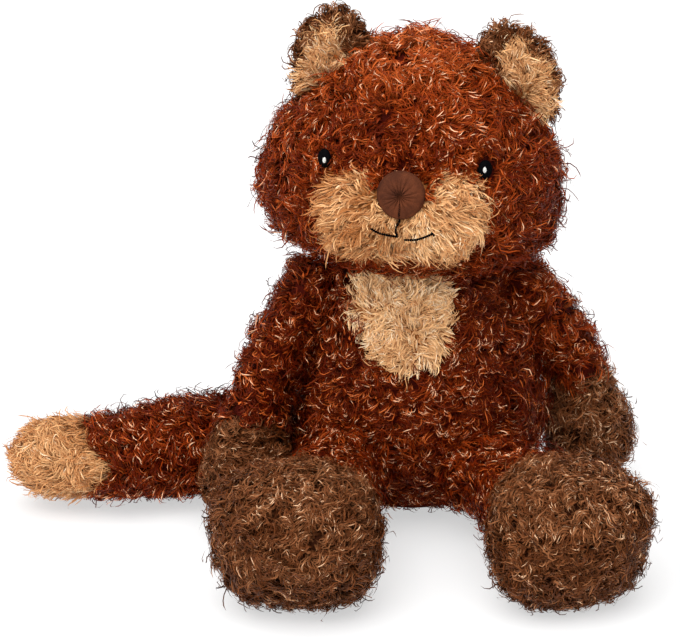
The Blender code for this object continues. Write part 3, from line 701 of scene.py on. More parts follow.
@dataclass(frozen=True)
class Pile:
    """How the strands of a coat grow, in locks that lean and curl together.

    Angles are in degrees: lean is the tilt from the skin's normal at the root, bend the
    tilt after the first part of the strand, spin how far the rest turns about the normal.
    The highlight share is the share of strands given a painted highlight, a paler shade raised
    by the highlight lift.
    """

    length: float = 0.0118
    width: float = 0.00040
    locks_per_area: float = 62000.0
    strands: int = 14
    lock_radius: float = 0.0026
    gather: float = 0.4
    lean: tuple[float, float] = (5.0, 40.0)
    bend: tuple[float, float] = (85.0, 150.0)
    spin: tuple[float, float] = (60.0, 190.0)
    wave: float = 0.5
    comb: float = 1.0
    stray: float = 0.8
    loose: float = 0.12
    under: float = 0.5
    shade: float = 0.34
    shade_spread: float = 0.13
    # Painted highlight: the share of strands made paler, and by how much.
    painted_highlight_share: float = 0.14
    painted_highlight_lift: float = 0.4


CURLY = Pile(length=0.0115, spin=(60, 240), painted_highlight_share=0.24, painted_highlight_lift=0.7)
SHAGGY = Pile(length=0.0104, spin=(50, 230), locks_per_area=74000, stray=1.2,
              lock_radius=0.0031, under=0.65, painted_highlight_share=0.2, painted_highlight_lift=0.42)
SMOOTH = Pile(locks_per_area=130000, lean=(25, 50), bend=(70, 100), spin=(5, 70), wave=0.3,
              comb=2.2, stray=0.4, loose=0.05)


@dataclass
class Coat:
    """Strands grown on a skin.

    A strand starts along a direction at an angle from the skin's normal and goes over
    to a larger angle at its tip, while that direction turns about the normal: its
    points are the running sum of those directions. Locks share their angles.
    """

    name: str
    yarn: Yarn
    pile: Pile
    skin: Array
    body: str
    comb: FieldOf
    seed: int
    wants: FieldOf
    lengths: FieldOf = lambda points: 1.0
    # Shift of each lock's tone by place: random tone, plus painted light and shade.
    shades: FieldOf = lambda points: 0.0

    def locks(self, random: np.random.Generator) -> tuple[Array, Array]:
        """Places and normals of the locks.

        A low-discrepancy pair (0.7549 k, 0.5698 k) is carried onto the skin through its
        area, row by row and then along the row, which spreads the locks evenly.

        Args:
            random: Source of the first number and of small shifts.

        Returns:
            N x 3 places and N x 3 normals.
        """
        here, beside = self.skin, np.roll(self.skin, -1, 1)
        corners = [here[:-1], beside[:-1], beside[1:], here[1:]]
        cross = np.cross(corners[2] - corners[0], corners[3] - corners[1]) / 2
        area = np.linalg.norm(cross, axis=-1)
        count = int(area.sum() * self.pile.locks_per_area)
        order = np.arange(count) + random.integers(1000)
        shift = random.normal(0, 0.35, (2, count)) / math.sqrt(count)
        first, second = (np.outer(LOCK_STEPS, order) % 1.0 + shift) % 1.0
        bands = np.cumsum(area.sum(1)) / area.sum()
        row = np.minimum(np.searchsorted(bands, first), len(bands) - 1)
        lower = np.concatenate([[0.0], bands])[row]
        down = np.clip((first - lower) / np.maximum(bands[row] - lower, 1e-12), 0, 1)
        within = np.cumsum(area, axis=1) / area.sum(1, keepdims=True)
        column = (within[row] < second[:, None]).sum(1).clip(0, area.shape[1] - 1)
        left = np.where(column > 0, within[row, np.maximum(column - 1, 0)], 0.0)
        across = np.clip((second - left) / np.maximum(within[row, column] - left, 1e-12),
                         0, 1)
        flat = [corner[row, column] for corner in corners]
        across, down = across[:, None], down[:, None]
        place = ((flat[0] * (1 - across) + flat[1] * across) * (1 - down)
                 + (flat[3] * (1 - across) + flat[2] * across) * down)
        keep = self.wants(place)
        return place[keep], unit(cross[row, column])[keep]

    def grow(self, random: np.random.Generator, place: Array, normal: Array,
             under: bool) -> tuple[Array, Array, Array]:
        """Points, side vectors and shades of every strand.

        Args:
            random: Source of the strands' own differences.
            place: Lock places.
            normal: Lock normals.
            under: Whether this is the short coat under the long one, darkened as painted shade.

        Returns:
            N x S x 3 points, N x S x 3 side vectors and N shades.
        """
        pile, locks = self.pile, len(place)
        wish = unit(self.comb(place)) * pile.comb + random.normal(
            size=(locks, 3)) * pile.stray * 0.6
        wish = unit(wish - normal * (wish * normal).sum(1, keepdims=True))
        lean = np.radians(random.uniform(*pile.lean, locks))
        bend = np.radians(random.uniform(*pile.bend, locks))
        spin = np.radians(random.uniform(*pile.spin, locks)) * random.choice([-1, 1], locks)
        phase = random.uniform(size=locks)
        long = pile.length * random.uniform(0.85, 1.15, locks) * self.lengths(place)
        tone = pile.shade + random.normal(0, pile.shade_spread * 0.8, locks)
        tone = tone + self.shades(place)

        own = np.repeat(np.arange(locks), UNDER_STRANDS if under else pile.strands)
        total = len(own)
        up, along = normal[own], wish[own]
        side = np.cross(up, along)
        angle, spread = random.uniform(0, 2 * math.pi, total), random.uniform(size=total)
        radius = pile.lock_radius * np.sqrt(spread) * (UNDER_SPREAD if under else 1.0)
        offset = (along * np.cos(angle)[:, None] + side * np.sin(angle)[:, None]
                  ) * radius[:, None]
        loose = random.uniform(size=total) < (0.0 if under else pile.loose)
        wild = np.where(loose, WILD_SPREAD, 1.0)
        start = np.abs(lean[own] + random.normal(0, LEAN_SPREAD, total) * wild)
        finish = bend[own] + random.normal(0, BEND_SPREAD, total)
        swing = random.normal(0, SWING_SPREAD, total) * wild
        turn = (spin[own] * random.normal(1, TURN_SPREAD, total)
                * np.where(loose, WILD_TURN, 1.0))
        length = (long[own] * random.uniform(0.75, 1.15, total)
                  * np.where(loose, LOOSE_LENGTH, 1.0) * (pile.under if under else 1.0))

        share = UNDER_SHARES if under else STRAND_SHARES
        middle, span = (share[1:] + share[:-1]) / 2, np.diff(share)
        tilt = start[:, None] + (finish - start)[:, None] * np.clip(middle / BEND_END, 0, 1)
        sway = np.sin(2 * math.pi * (middle * WAVES_ON_STRAND + phase[own][:, None]))
        late = (middle - TURN_START) / (1 - TURN_START)
        yaw = (swing[:, None] + turn[:, None] * np.clip(late, 0, 1)
               + sway * pile.wave)
        flat = (along[:, None] * np.cos(yaw)[..., None]
                + side[:, None] * np.sin(yaw)[..., None])
        heading = (up[:, None] * np.cos(tilt)[..., None] + flat * np.sin(tilt)[..., None])
        rise = np.cumsum(heading * (length[:, None] * span)[..., None], axis=1)
        base = (place[own] + offset)[:, None]
        points = np.concatenate([base, base + rise], axis=1)
        pull = 0.0 if under else pile.gather
        points = points - offset[:, None] * (share * pull)[None, :, None]

        course = np.gradient(points, axis=1)
        flank = unit(np.cross(course, up[:, None]))
        back = unit(np.cross(course, flank))
        roll = random.uniform(-ROLL_LIMIT, ROLL_LIMIT, total)[:, None] + random.normal(
            0, ROLL_DRIFT, total)[:, None] * share
        flank = flank * np.cos(roll)[..., None] + back * np.sin(roll)[..., None]
        taper = np.interp(share, *TAPER)
        breadth = (pile.width * random.uniform(0.8, 1.2, total)
                   * np.where(loose, LOOSE_WIDTH, 1.0) * (UNDER_WIDTH if under else 1.0))
        flank = flank * (breadth[:, None] * taper / 2)[..., None]
        points[..., 2] = settled(points[..., 2])
        tones = tone[own] + random.normal(0, pile.shade_spread, total)
        # Painted highlight: a share of the strands is made paler by a lift.
        has_painted_highlight = (random.uniform(size=total) < pile.painted_highlight_share) & ~loose
        tones = (tones + np.where(has_painted_highlight, pile.painted_highlight_lift, 0.0)
                 # Painted shade: loose strands are darkened by a tone and the under coat by a
                 # factor.
                 - np.where(loose, LOOSE_PAINTED_SHADE, 0.0)) * (UNDER_PAINTED_SHADE if under else 1.0)
        return points, flank, np.clip(tones, LEAST_TONE, MOST_TONE)

    def ribbons(self, points: Array, flank: Array, tones: Array) -> tuple[Array, Array, Array]:
        """Strands as flat ribbons that end in a triangle.

        Args:
            points: N x S x 3 points of the strands.
            flank: N x S x 3 side vectors, half a width long.
            tones: N shades.

        Returns:
            Vertices, quads and texture places.
        """
        total, rings, _ = points.shape
        vertices = np.stack([points - flank, points + flank], axis=2).reshape(-1, 3)
        first = (np.arange(total) * rings * 2)[:, None] + np.arange(rings - 1) * 2
        quads = np.stack([first, first + 1, first + 3, first + 2], -1)
        quads[:, -1, 2] = quads[:, -1, 3]
        share = np.linspace(0.004, 0.996, rings)
        low, high = (np.broadcast_to(part, first.shape) for part in (share[:-1], share[1:]))
        left = np.broadcast_to((tones - HALF_TEXEL)[:, None], first.shape)
        right = left + 2 * HALF_TEXEL
        uvs = np.stack([np.stack(pair, -1) for pair in (
            (left, low), (right, low), (right, high), (left, high))], 2)
        return vertices, quads.reshape(-1, 4), uvs.reshape(-1, 4, 2)

    def build(self) -> None:
        """Grow the under and the over coat, in pieces of a bounded size."""
        random = np.random.default_rng(self.seed)
        place, normal = self.locks(random)
        each = (self.pile.strands * (2 * len(STRAND_SHARES) - 3)
                + UNDER_STRANDS * (2 * len(UNDER_SHARES) - 3))
        parts = max(1, math.ceil(len(place) * each / MAX_PIECE_TRIANGLES))
        order = np.argsort(np.arctan2(place[:, 0] - place[:, 0].mean(),
                                      -(place[:, 1] - place[:, 1].mean())))
        for number, chosen in enumerate(np.array_split(order, parts), 1):
            below, above = (
                self.ribbons(*self.grow(random, place[chosen], normal[chosen], under))
                for under in (True, False))
            surface = (np.vstack([below[0], above[0]]),
                       np.vstack([below[1], above[1] + len(below[0])]))
            add_piece(self.name if parts == 1 else f"{self.name}_{number}", surface,
                      self.yarn.strands, self.yarn.slot, self.body,
                      uvs=np.concatenate([below[2], above[2]]))


def add_skin(name: str, points: Array, yarn: Yarn, body: str, *nodes: str,
             fill: float = 0.8) -> None:
    """Closed skin of a stuffed piece, standing for its CAD nodes.

    Args:
        name: Name of the piece.
        points: Its rings, from pole to pole.
        yarn: Yarn whose cloth it is made of.
        body: The body that it moves with.
        nodes: CAD nodes that it stands for.
        fill: How full it is stuffed.
    """
    vertices, faces = closed_grid(points)
    vertices[:, 2] = settled(vertices[:, 2])
    add_piece(name, (vertices, faces), yarn.cloth, yarn.slot, body, *nodes, fill=fill)


# Sub-assemblies


@dataclass
class Torso:
    """Pear-shaped torso with a tan shield on its chest."""

    height: float = 0.152
    width: float = 0.132
    depth: float = 0.108
    neck_radius: float = 0.045
    neck_rise: float = 0.026
    skin_depth: float = 0.0042
    patch_width: float = 0.054
    patch_height: float = 0.048
    patch_top: float = 0.13756
    patch_turn: float = math.radians(-9)
    patch_lift: float = 0.0008
    patch_thickness: float = 0.0012
    skin_columns: int = 64
    coat_columns: int = 96
    under_head: float = 0.006
    under_limb: float = 0.005
    patch_edge: float = 0.0012
    patch_bare: float = 0.003
    comb_centre: tuple[float, float] = (-0.008, -0.05)
    tuft_height: float = 0.075
    tuft_spread: float = 0.03
    tuft_aside: float = 0.045
    tuft_share: float = 0.7
    seat_bare: float = 0.010
    half_widths: tuple = ((0.0, 0.12, 0.45, 0.74, 0.94, 1.0),
                          (0.45, 0.47, 0.49, 0.375, 0.15, 0.0))
    lean: tuple = ((0.0, 0.45, 0.75, 1.0), (-0.045, -0.055, 0.0, 0.1))
    station_shares: tuple = (
        (0.0, 0.46, 0.34), (0.04, 0.68, 0.47), (0.11, 0.85, 0.65), (0.21, 0.97, 0.85),
        (0.33, 1.0, 0.98), (0.47, 0.96, 0.97), (0.62, 0.87, 0.89), (0.76, 0.78, 0.84))

    def stations(self) -> list[Section]:
        """Stations of the pear, without its neck."""
        return scaled(self.station_shares, self.height, self.width / 2, self.depth / 2)

    def form(self) -> Form:
        """The torso's form, from its seat up to the neck.

        Returns:
            The form in the world's frame.
        """
        top, neck = self.height - self.neck_rise, self.neck_radius
        rows = [(0.0, 0.0, 0.0), *self.stations(), (top, neck, neck),
                *round_end(top, self.neck_rise, neck, neck)]
        return Form([(0, 0, 0), (0, 0, self.height)], rows, seed=11)

    def half_at(self, height: float) -> tuple[float, float]:
        """Half width and half depth of the CAD torso at a height."""
        keys, *halves = np.array(self.stations()).T
        return tuple(float(np.interp(height, keys, half)) for half in halves)

    def in_patch(self, points: Array, grow: float = 0.0) -> Array:
        """Whether each point lies under the chest shield.

        Args:
            points: Places on the torso.
            grow: Margin by which the shield is widened.

        Returns:
            One truth value for each point.
        """
        c, s = math.cos(-self.patch_turn), math.sin(-self.patch_turn)
        aside = (points[:, 0] * c - points[:, 1] * s) / self.patch_width
        ahead = points[:, 0] * s + points[:, 1] * c
        drop = (self.patch_top - points[:, 2]) / self.patch_height
        half = np.interp(drop, *self.half_widths) + grow / self.patch_width
        aside = np.abs(aside - np.interp(drop, *self.lean))
        return (ahead < 0) & (drop > -0.05) & (drop < 1) & (aside < half)

    def patch_skin(self, form: Form) -> Array:
        """Backing of the shield: its front face, then its rim closed behind.

        Args:
            form: The torso's form.

        Returns:
            Rings from the middle of the front to the middle of the back.
        """
        depth = self.skin_depth - self.patch_lift
        flat = form.rings(depth, 240).reshape(-1, 3)
        front = flat[self.in_patch(flat)]
        centre = front.mean(0)
        across, above = front[:, 0] - centre[0], front[:, 2] - centre[2]
        columns = 48
        ring = np.linspace(-math.pi, math.pi, columns, endpoint=False)
        turn = (np.arctan2(above, across) + math.pi) / (2 * math.pi) * columns
        edge = np.zeros(columns)
        np.maximum.at(edge, np.clip(turn.astype(int), 0, columns - 1),
                      np.hypot(above, across))
        shares = np.array([0.0, 0.3, 0.6, 0.85, 1.0])
        aside = centre[0] + edge * np.cos(ring) * shares[:, None]
        height = centre[2] + edge * np.sin(ring) * shares[:, None]
        rows = form.inset(depth)
        rows = rows[np.concatenate([[True], np.diff(rows[:, 0]) > 0])]
        half = at_distances(rows, rows[:, 0], height.ravel())
        wide, deep = half[:, 1].reshape(height.shape), half[:, 2].reshape(height.shape)
        ahead = -deep * np.sqrt(np.clip(1 - (aside / wide) ** 2, 0.01, 1))
        outer = np.stack([aside, ahead, height], -1)
        inner = outer[::-1] + np.array([0.0, self.patch_thickness, 0.0])
        return np.concatenate([outer, inner])[:, ::-1]

    def build(self, hidden: list[Form], head: "Head") -> Form:
        """Build and dress the torso.

        Args:
            hidden: Forms of limbs that cover some of its skin.
            head: Head that covers its top.

        Returns:
            The torso's form.
        """
        form, head_form = self.form(), head.form()
        add_skin("torso_body", form.skin(self.skin_depth, self.skin_columns), RUST, "torso",
                 "torso_skin", "torso_stuffing", "pellet_bag")
        add_skin("chest_shield", self.patch_skin(form), TAN, "torso", "chest_patch", fill=0.3)
        skin = form.skin(self.skin_depth, self.coat_columns)
        centre = np.array([*self.comb_centre, self.patch_top - 0.45 * self.patch_height])
        body_drift, chest_drift = Ripples.vectors(0.018, 21), Ripples.vectors(0.012, 33)

        def shown(points: Array) -> Array:
            """Whether no other form hides each point.

            Args:
                points: Places to ask about.

            Returns:
                One truth value for each point.
            """
            keep = (points[:, 2] > self.seat_bare) & ~self.in_patch(points, -self.patch_edge)
            keep &= ~head_form.holds(head.own(points), -self.under_head)
            for other in hidden:
                keep &= ~other.holds(points, -self.under_limb)
            return keep

        def longer(points: Array) -> Array:
            """Strands short at the seat and long on the left side, beside the arm."""
            side = np.exp(-((points[:, 2] - self.tuft_height) / self.tuft_spread) ** 2) * (
                points[:, 0] > self.tuft_aside)
            return (np.interp(points[:, 2], [0.006, 0.02], [0.6, 1.0])
                    * (1 + self.tuft_share * side))

        def fall(points: Array) -> Array:
            """Direction away from the middle of the shield.

            Args:
                points: Places on the shield.

            Returns:
                N x 3 directions.
            """
            out = points - centre
            out = out / (np.linalg.norm(out, axis=1, keepdims=True) + 0.012) * 1.4
            out[:, 0] *= np.interp(points[:, 2] - centre[2], [-0.01, 0.005], [1.0, 0.5])
            return out + chest_drift(points) * 0.7

        # Torso coat: random tone, darkened by 0.21, partly its own darker tone and partly
        # painted shade under the head.
        Coat("torso_coat", RUST, replace(CURLY, painted_highlight_lift=0.76), skin, "torso",
             lambda p: np.array([0, 0, -0.7]) + body_drift(p) * 0.8, 101, shown, longer,
             lambda p: Ripples(0.03, 77)(p) * 0.06 - 0.21).build()
        pile = Pile(length=0.0085, locks_per_area=140000, lean=(20, 45), bend=(75, 105),
                    spin=(10, 100), wave=0.35, comb=1.6, stray=0.8, loose=0.04,
                    width=0.00042, strands=10, shade=0.6, shade_spread=0.1)
        # Chest coat: random tone, paler towards the top as painted light against the shade
        # under the chin.
        Coat("chest_coat", TAN, pile, skin, "torso", fall, 102,
             lambda p: self.in_patch(p, -self.patch_bare),
             shades=lambda p: Ripples(0.012, 78)(p) * 0.08 + np.interp(
                 p[:, 2], [0.10, 0.13], [0.0, 0.14])).build()
        return form


@dataclass
class Head:
    """Egg-shaped head, widest at the cheeks; its frame carries the whole face."""

    width: float = 0.154
    depth: float = 0.118
    height: float = 0.1215
    sink: float = 0.015
    forward: float = 0.012
    aside: float = -0.0008
    turn: float = math.radians(-8)
    roll: float = math.radians(1.8)
    neck_height: float = 0.152
    skin_depth: float = 0.0046
    skin_columns: int = 72
    coat_columns: int = 110
    under_muzzle: float = 0.004
    under_torso: float = 0.008
    eye_reach: float = 0.009
    brow_height: float = 0.006
    brow_spread: float = 0.008
    brow_aside: float = 0.03
    brow_width: float = 0.015
    brow_share: float = 0.3
    station_shares: tuple = (
        (-0.5, 0.0, 0.0), (-0.48, 0.36, 0.36), (-0.43, 0.65, 0.64), (-0.35, 0.86, 0.84),
        (-0.24, 0.97, 0.96), (-0.11, 1.0, 1.0), (0.01, 0.97, 0.99), (0.13, 0.88, 0.92),
        (0.25, 0.73, 0.80), (0.36, 0.53, 0.62), (0.45, 0.30, 0.38), (0.5, 0.0, 0.0))

    @property
    def place(self) -> Matrix:
        """Matrix from the head's own frame to the world."""
        lift = self.neck_height - self.sink + self.height / 2
        return (Matrix.Translation((self.aside, -self.forward, lift))
                @ Matrix.Rotation(self.turn, 4, "Z") @ Matrix.Rotation(self.roll, 4, "Y"))

    @property
    def axes(self) -> Array:
        """Turn from the head's own frame to the world, for rows of directions."""
        return np.array(self.place)[:3, :3].T

    def own(self, points: Array) -> Array:
        """Points of the world in the head's own frame."""
        return turned_back(points, self.place)

    def stations(self) -> list[Section]:
        """Stations from chin to crown, from the head's centre."""
        return scaled(self.station_shares, self.height, self.width / 2, self.depth / 2)

    def form(self) -> Form:
        """The head's form in its own frame."""
        return Form([(0, 0, 0), (0, 0, self.height)], self.stations(), lump=0.0016, seed=12)

    def front(self, aside: float, height: float) -> float:
        """Distance forward of the head's skin at a place on the face.

        Args:
            aside: How far to the left of the head's middle.
            height: How far above its centre.

        Returns:
            The distance from the head's centre.
        """
        keys, *halves = np.array(self.stations()).T
        wide, deep = (np.interp(height, keys, half) for half in halves)
        return float(deep * math.sqrt(max(1 - (aside / wide) ** 2, 0.0)))

    def build(self, muzzle: "Muzzle", eyes: list["Eye"], torso: Form) -> None:
        """Build and dress the head.

        Args:
            muzzle: Muzzle that covers some of its skin.
            eyes: Eyes that the strands leave free.
            torso: The torso's form, which covers the chin's underside.
        """
        form, muzzle_form = self.form(), muzzle.form()
        body, skin = (turned(form.skin(self.skin_depth, columns), self.place)
                      for columns in (self.skin_columns, self.coat_columns))
        add_skin("head_body", body, RUST, "head", "head_skin", "head_stuffing")
        drift = Ripples.vectors(0.016, 41)

        def comb(points: Array) -> Array:
            """Direction outwards over the face and down.

            Args:
                points: Places on the head.

            Returns:
                N x 3 directions.
            """
            out = self.own(points) * np.array([1.1, 0.0, 0.5]) / 0.06
            out[:, 2] -= 0.5
            return out @ self.axes + drift(points) * 1.2

        def shown(points: Array) -> Array:
            """Whether no other form or eye hides each point.

            Args:
                points: Places to ask about.

            Returns:
                One truth value for each point.
            """
            local = self.own(points)
            keep = ~muzzle_form.holds(local, -self.under_muzzle)
            keep &= ~torso.holds(points, -self.under_torso)
            for eye in eyes:
                keep &= ~eye.covers(local)
            return keep & (~muzzle.brow(local) | muzzle.wedge(local))

        def beside_eyes(points: Array) -> Array:
            """Whether each point is shown and close to an eye."""
            gaps = np.min([eye.gap(self.own(points)) for eye in eyes], axis=0)
            return shown(points) & (gaps < self.eye_reach)

        def lengths(points: Array) -> Array:
            """Strands shorter round the eyes, at the nose and on the brow.

            Args:
                points: Places on the head.

            Returns:
                Share of the pile's length at each place.
            """
            local = self.own(points)
            size = np.ones(len(points))
            for eye in eyes:
                size = size * np.interp(eye.gap(local), [0.004, self.eye_reach], [0.6, 1.0])
            face = local[:, 1] < 0
            gap = np.hypot(local[:, 0], local[:, 2] + 0.002)
            near = np.where(face, np.interp(gap, [0.012, 0.03], [0.6, 1.0]), 1.0)
            brow = np.exp(-((local[:, 2] - self.brow_height) / self.brow_spread) ** 2) * (
                np.abs(np.abs(local[:, 0]) - self.brow_aside) < self.brow_width)
            return size * near * np.where(face, 1 - self.brow_share * brow, 1.0)

        # Head coat: random tone, paler at the crown as painted light from above, and darker
        # towards the toy's left as painted shade.
        Coat("head_coat", RUST,
             Pile(length=0.0122, locks_per_area=72000, spin=(20, 150), wave=0.6, painted_highlight_share=0.15,
                  painted_highlight_lift=0.6), skin, "head", comb, 110, shown, lengths,
             lambda p: Ripples(0.035, 79)(p) * 0.07 + np.interp(
                 p[:, 2], [0.17, 0.22, 0.25], [-0.05, -0.05, 0.28]) - np.interp(
                     p[:, 0], [0.0, 0.04], [0.0, 0.05])).build()
        Coat("head_eye_coat", RUST,
             Pile(length=0.0075, locks_per_area=180000, lock_radius=0.0016, lean=(25, 50),
                  spin=(10, 90), strands=9), skin, "head", comb, 111, beside_eyes).build()


@dataclass
class Muzzle:
    """Two-lobed muzzle with short strands round the nose and a fringe below."""

    head: Head
    width: float = 0.084
    height: float = 0.0465
    depth: float = 0.044
    drop: float = 0.0168
    forward: float = 0.048
    roll: float = math.radians(-4.5)
    skin_depth: float = 0.0040
    brow_centre: tuple[float, float] = (0.0235, -0.0035)
    brow_halves: tuple[float, float] = (0.0145, 0.0085)
    wedge_heights: tuple[float, float] = (-0.007, 0.006)
    wedge_half_widths: tuple[float, float] = (0.0112, 0.0175)
    mouth_height: float = -0.0225
    mouth_spread: float = 0.004
    mouth_aside: float = 0.016
    mouth_share: float = 0.55
    comb_drop: float = 0.004
    skin_columns: int = 64
    coat_columns: int = 96
    under_head: float = 0.004
    station_shares: tuple = (
        (-1.0, 0.0, 0.0), (-0.94, 0.42, 0.44), (-0.76, 0.78, 0.80), (-0.48, 1.0, 1.0),
        (-0.2, 0.98, 0.98), (0.0, 0.94, 0.93), (0.2, 0.98, 0.98), (0.48, 1.0, 1.0),
        (0.76, 0.78, 0.80), (0.94, 0.42, 0.44), (1.0, 0.0, 0.0))

    def stations(self) -> Array:
        """Stations from one cheek to the other, from the right cheek.

        Returns:
            Rows of distance, half depth and half height.
        """
        half = self.width / 2
        rows = scaled(self.station_shares, half, self.depth / 2, self.height / 2)
        return np.array(rows) + np.array([half, 0.0, 0.0])

    def form(self) -> Form:
        """The muzzle's form in the head's frame.

        Returns:
            The form, from its right to its left end.
        """
        middle = np.array([0.0, -self.forward, -self.drop])
        half = np.array([math.cos(self.roll), 0.0, -math.sin(self.roll)]) * self.width / 2
        return Form([middle - half, middle + half], self.stations(), lump=0.0008, seed=13)

    def front(self, aside: float, height: float) -> float:
        """Distance forward of the muzzle's skin, in the head's frame.

        Args:
            aside: How far to the left of the muzzle's middle.
            height: How far above the head's centre.

        Returns:
            The distance from the head's centre.
        """
        keys, *halves = self.stations().T
        deep, tall = (np.interp(aside + self.width / 2, keys, half) for half in halves)
        share = (height + self.drop + aside * math.tan(self.roll)) / tall
        return float(self.forward + deep * math.sqrt(max(1 - share * share, 0.0)))

    def brow(self, local: Array) -> Array:
        """Whether each point of the head lies under the raised edge of the left lobe."""
        share = (local[:, ::2] - self.brow_centre) / self.brow_halves
        return ((share ** 2).sum(1) < 1) & (local[:, 1] < 0)

    def wedge(self, local: Array) -> Array:
        """Whether each point lies in the rust wedge that comes down to the nose."""
        half = np.interp(local[:, 2], self.wedge_heights, self.wedge_half_widths)
        return (np.abs(local[:, 0]) < half) & (local[:, 2] > self.wedge_heights[0])

    def build(self, nose: "Nose") -> None:
        """Build and dress the muzzle round its nose.

        Args:
            nose: Nose that covers some of its skin.
        """
        form, head_form, place = self.form(), self.head.form(), self.head.place
        body, skin = (turned(form.skin(self.skin_depth, columns), place)
                      for columns in (self.skin_columns, self.coat_columns))
        add_skin("muzzle_body", body, TAN, "head", "muzzle")
        own, drift = self.head.own, Ripples.vectors(0.010, 43)

        def from_nose(local: Array) -> Array:
            """Distance of each point from the nose, seen from the front."""
            return np.hypot(local[:, 0], local[:, 2] + nose.drop)

        def shown(points: Array) -> Array:
            """Whether neither the head nor the nose hides each point.

            Args:
                points: Places to ask about.

            Returns:
                One truth value for each point.
            """
            local = own(points)
            hidden = head_form.holds(local, -self.under_head)
            return ~hidden & ~(from_nose(local) < nose.radius * 0.9)

        def between(points: Array) -> Array:
            """Whether each point is shown and lies in the rust wedge."""
            return shown(points) & self.wedge(own(points))

        def comb(points: Array) -> Array:
            """Direction away from the nose and a little down.

            Args:
                points: Places on the muzzle.

            Returns:
                N x 3 directions.
            """
            out = own(points) - np.array([0.0, 0.0, -nose.drop])
            out[:, 1] = 0.0
            out[:, 2] -= self.comb_drop
            return unit(out) @ self.head.axes + drift(points) * 0.5

        def lengths(points: Array) -> Array:
            """Strands short at the nose and the mouth and long in the fringe.

            Args:
                points: Places on the muzzle.

            Returns:
                Share of the pile's length at each place.
            """
            local = own(points)
            size = np.interp(from_nose(local), [0.012, 0.030], [0.5, 1.0])
            mouth = np.exp(-((local[:, 2] - self.mouth_height) / self.mouth_spread) ** 2) * (
                np.abs(local[:, 0]) < self.mouth_aside)
            fringe = np.interp(local[:, 2], [-0.040, -0.030], [1.1, 1.0])
            return size * fringe * (1 - self.mouth_share * mouth)

        def raised(points: Array) -> Array:
            """Whether each point lies on the raised edge of the left lobe alone."""
            local = own(points)
            return self.brow(local) & ~form.holds(local, -0.003) & ~self.wedge(local)

        # Muzzle coat: random tone, paler towards the toy's left as painted light, and darker
        # towards its right, partly its own browner tone and partly painted shade.
        Coat("muzzle_coat", TAN,
             replace(SMOOTH, length=0.0112, locks_per_area=105000, width=0.00044), skin,
             "head", comb, 120, lambda p: shown(p) & ~between(p), lengths,
             lambda p: Ripples(0.010, 80)(p) * 0.12 + np.interp(
                 own(p)[:, 0], [-0.02, 0.01], [-0.18, 0.12])).build()
        Coat("muzzle_wedge_coat", RUST,
             Pile(length=0.0075, locks_per_area=260000, lock_radius=0.0014, lean=(20, 45),
                  bend=(70, 110), spin=(5, 60), strands=9), skin, "head", comb, 122,
             between).build()
        forehead = head_form.rings(self.head.skin_depth, self.head.coat_columns)
        Coat("muzzle_brow_coat", TAN, replace(SMOOTH, length=0.0068, shade=0.45),
             turned(forehead, place), "head", comb, 121, raised).build()


@dataclass
class Nose:
    """Round suede pad drawn together at its centre.

    Its height over the pad's plane is a dome less radial gathers, which deepen towards
    the centre: z = t * (1 - r^2.6)^0.5 - g * ridge(n q) * (1.15 - r) - a dimple at r = 0.
    """

    muzzle: Muzzle
    radius: float = 0.0118
    thickness: float = 0.0068
    drop: float = 0.0042
    tilt: float = math.radians(-8)
    sink: float = 0.0012
    gathers: int = 17
    gather_depth: float = 0.0011
    dimple: float = 0.0016
    columns: int = 204
    back_rings: int = 9
    front_rings: int = 30
    flare: float = 2.6
    back_share: float = 0.35

    def points(self) -> Array:
        """Rings of the nose from its back pole to its front pole, in its own frame.

        Returns:
            Rows x columns x 3 places.
        """
        angle = circle(self.columns)
        bend = np.sin(3 * angle + 0.7) * 0.28 + np.sin(5 * angle) * 0.18
        wave = np.abs(np.sin((self.gathers * (angle + bend * 0.2)) / 2)) ** 0.7
        lens = lens_shares(self.back_rings, self.front_rings)
        front = np.arange(len(lens))[:, None] >= self.back_rings
        reach = lens * (1 - 0.012 * np.sin(2 * angle + 1) * front)
        dome = np.sqrt(np.clip(1 - lens ** self.flare, 0, 1)) * self.thickness
        depth = np.clip(1.15 - lens, 0, 1) * self.gather_depth
        dimple = np.exp(-(lens / 0.16) ** 2) * self.dimple
        fade = np.clip(lens / 0.12, 0, 1)
        proud = np.where(front, dome - (1 - wave) * depth * fade - dimple,
                         -self.back_share * dome)
        proud = np.where(lens < 1e-9, proud.mean(1, keepdims=True), proud)
        return np.stack([reach * self.radius * np.cos(angle), -proud,
                         reach * self.radius * np.sin(angle)], -1)

    def place(self) -> Matrix:
        """Matrix from the pad's own frame to the head's frame."""
        seat = -self.muzzle.front(0.0, -self.drop) + self.sink
        return (Matrix.Translation((0, seat, -self.drop))
                @ Matrix.Rotation(self.tilt, 4, "X"))

    def build(self) -> None:
        """Build the pad."""
        points = turned(turned(self.points(), self.place()), self.muzzle.head.place)
        add_piece("nose", closed_grid(points), SUEDE.material, SUEDE.slot, "head",
                  "nose_pad", fill=0.9)


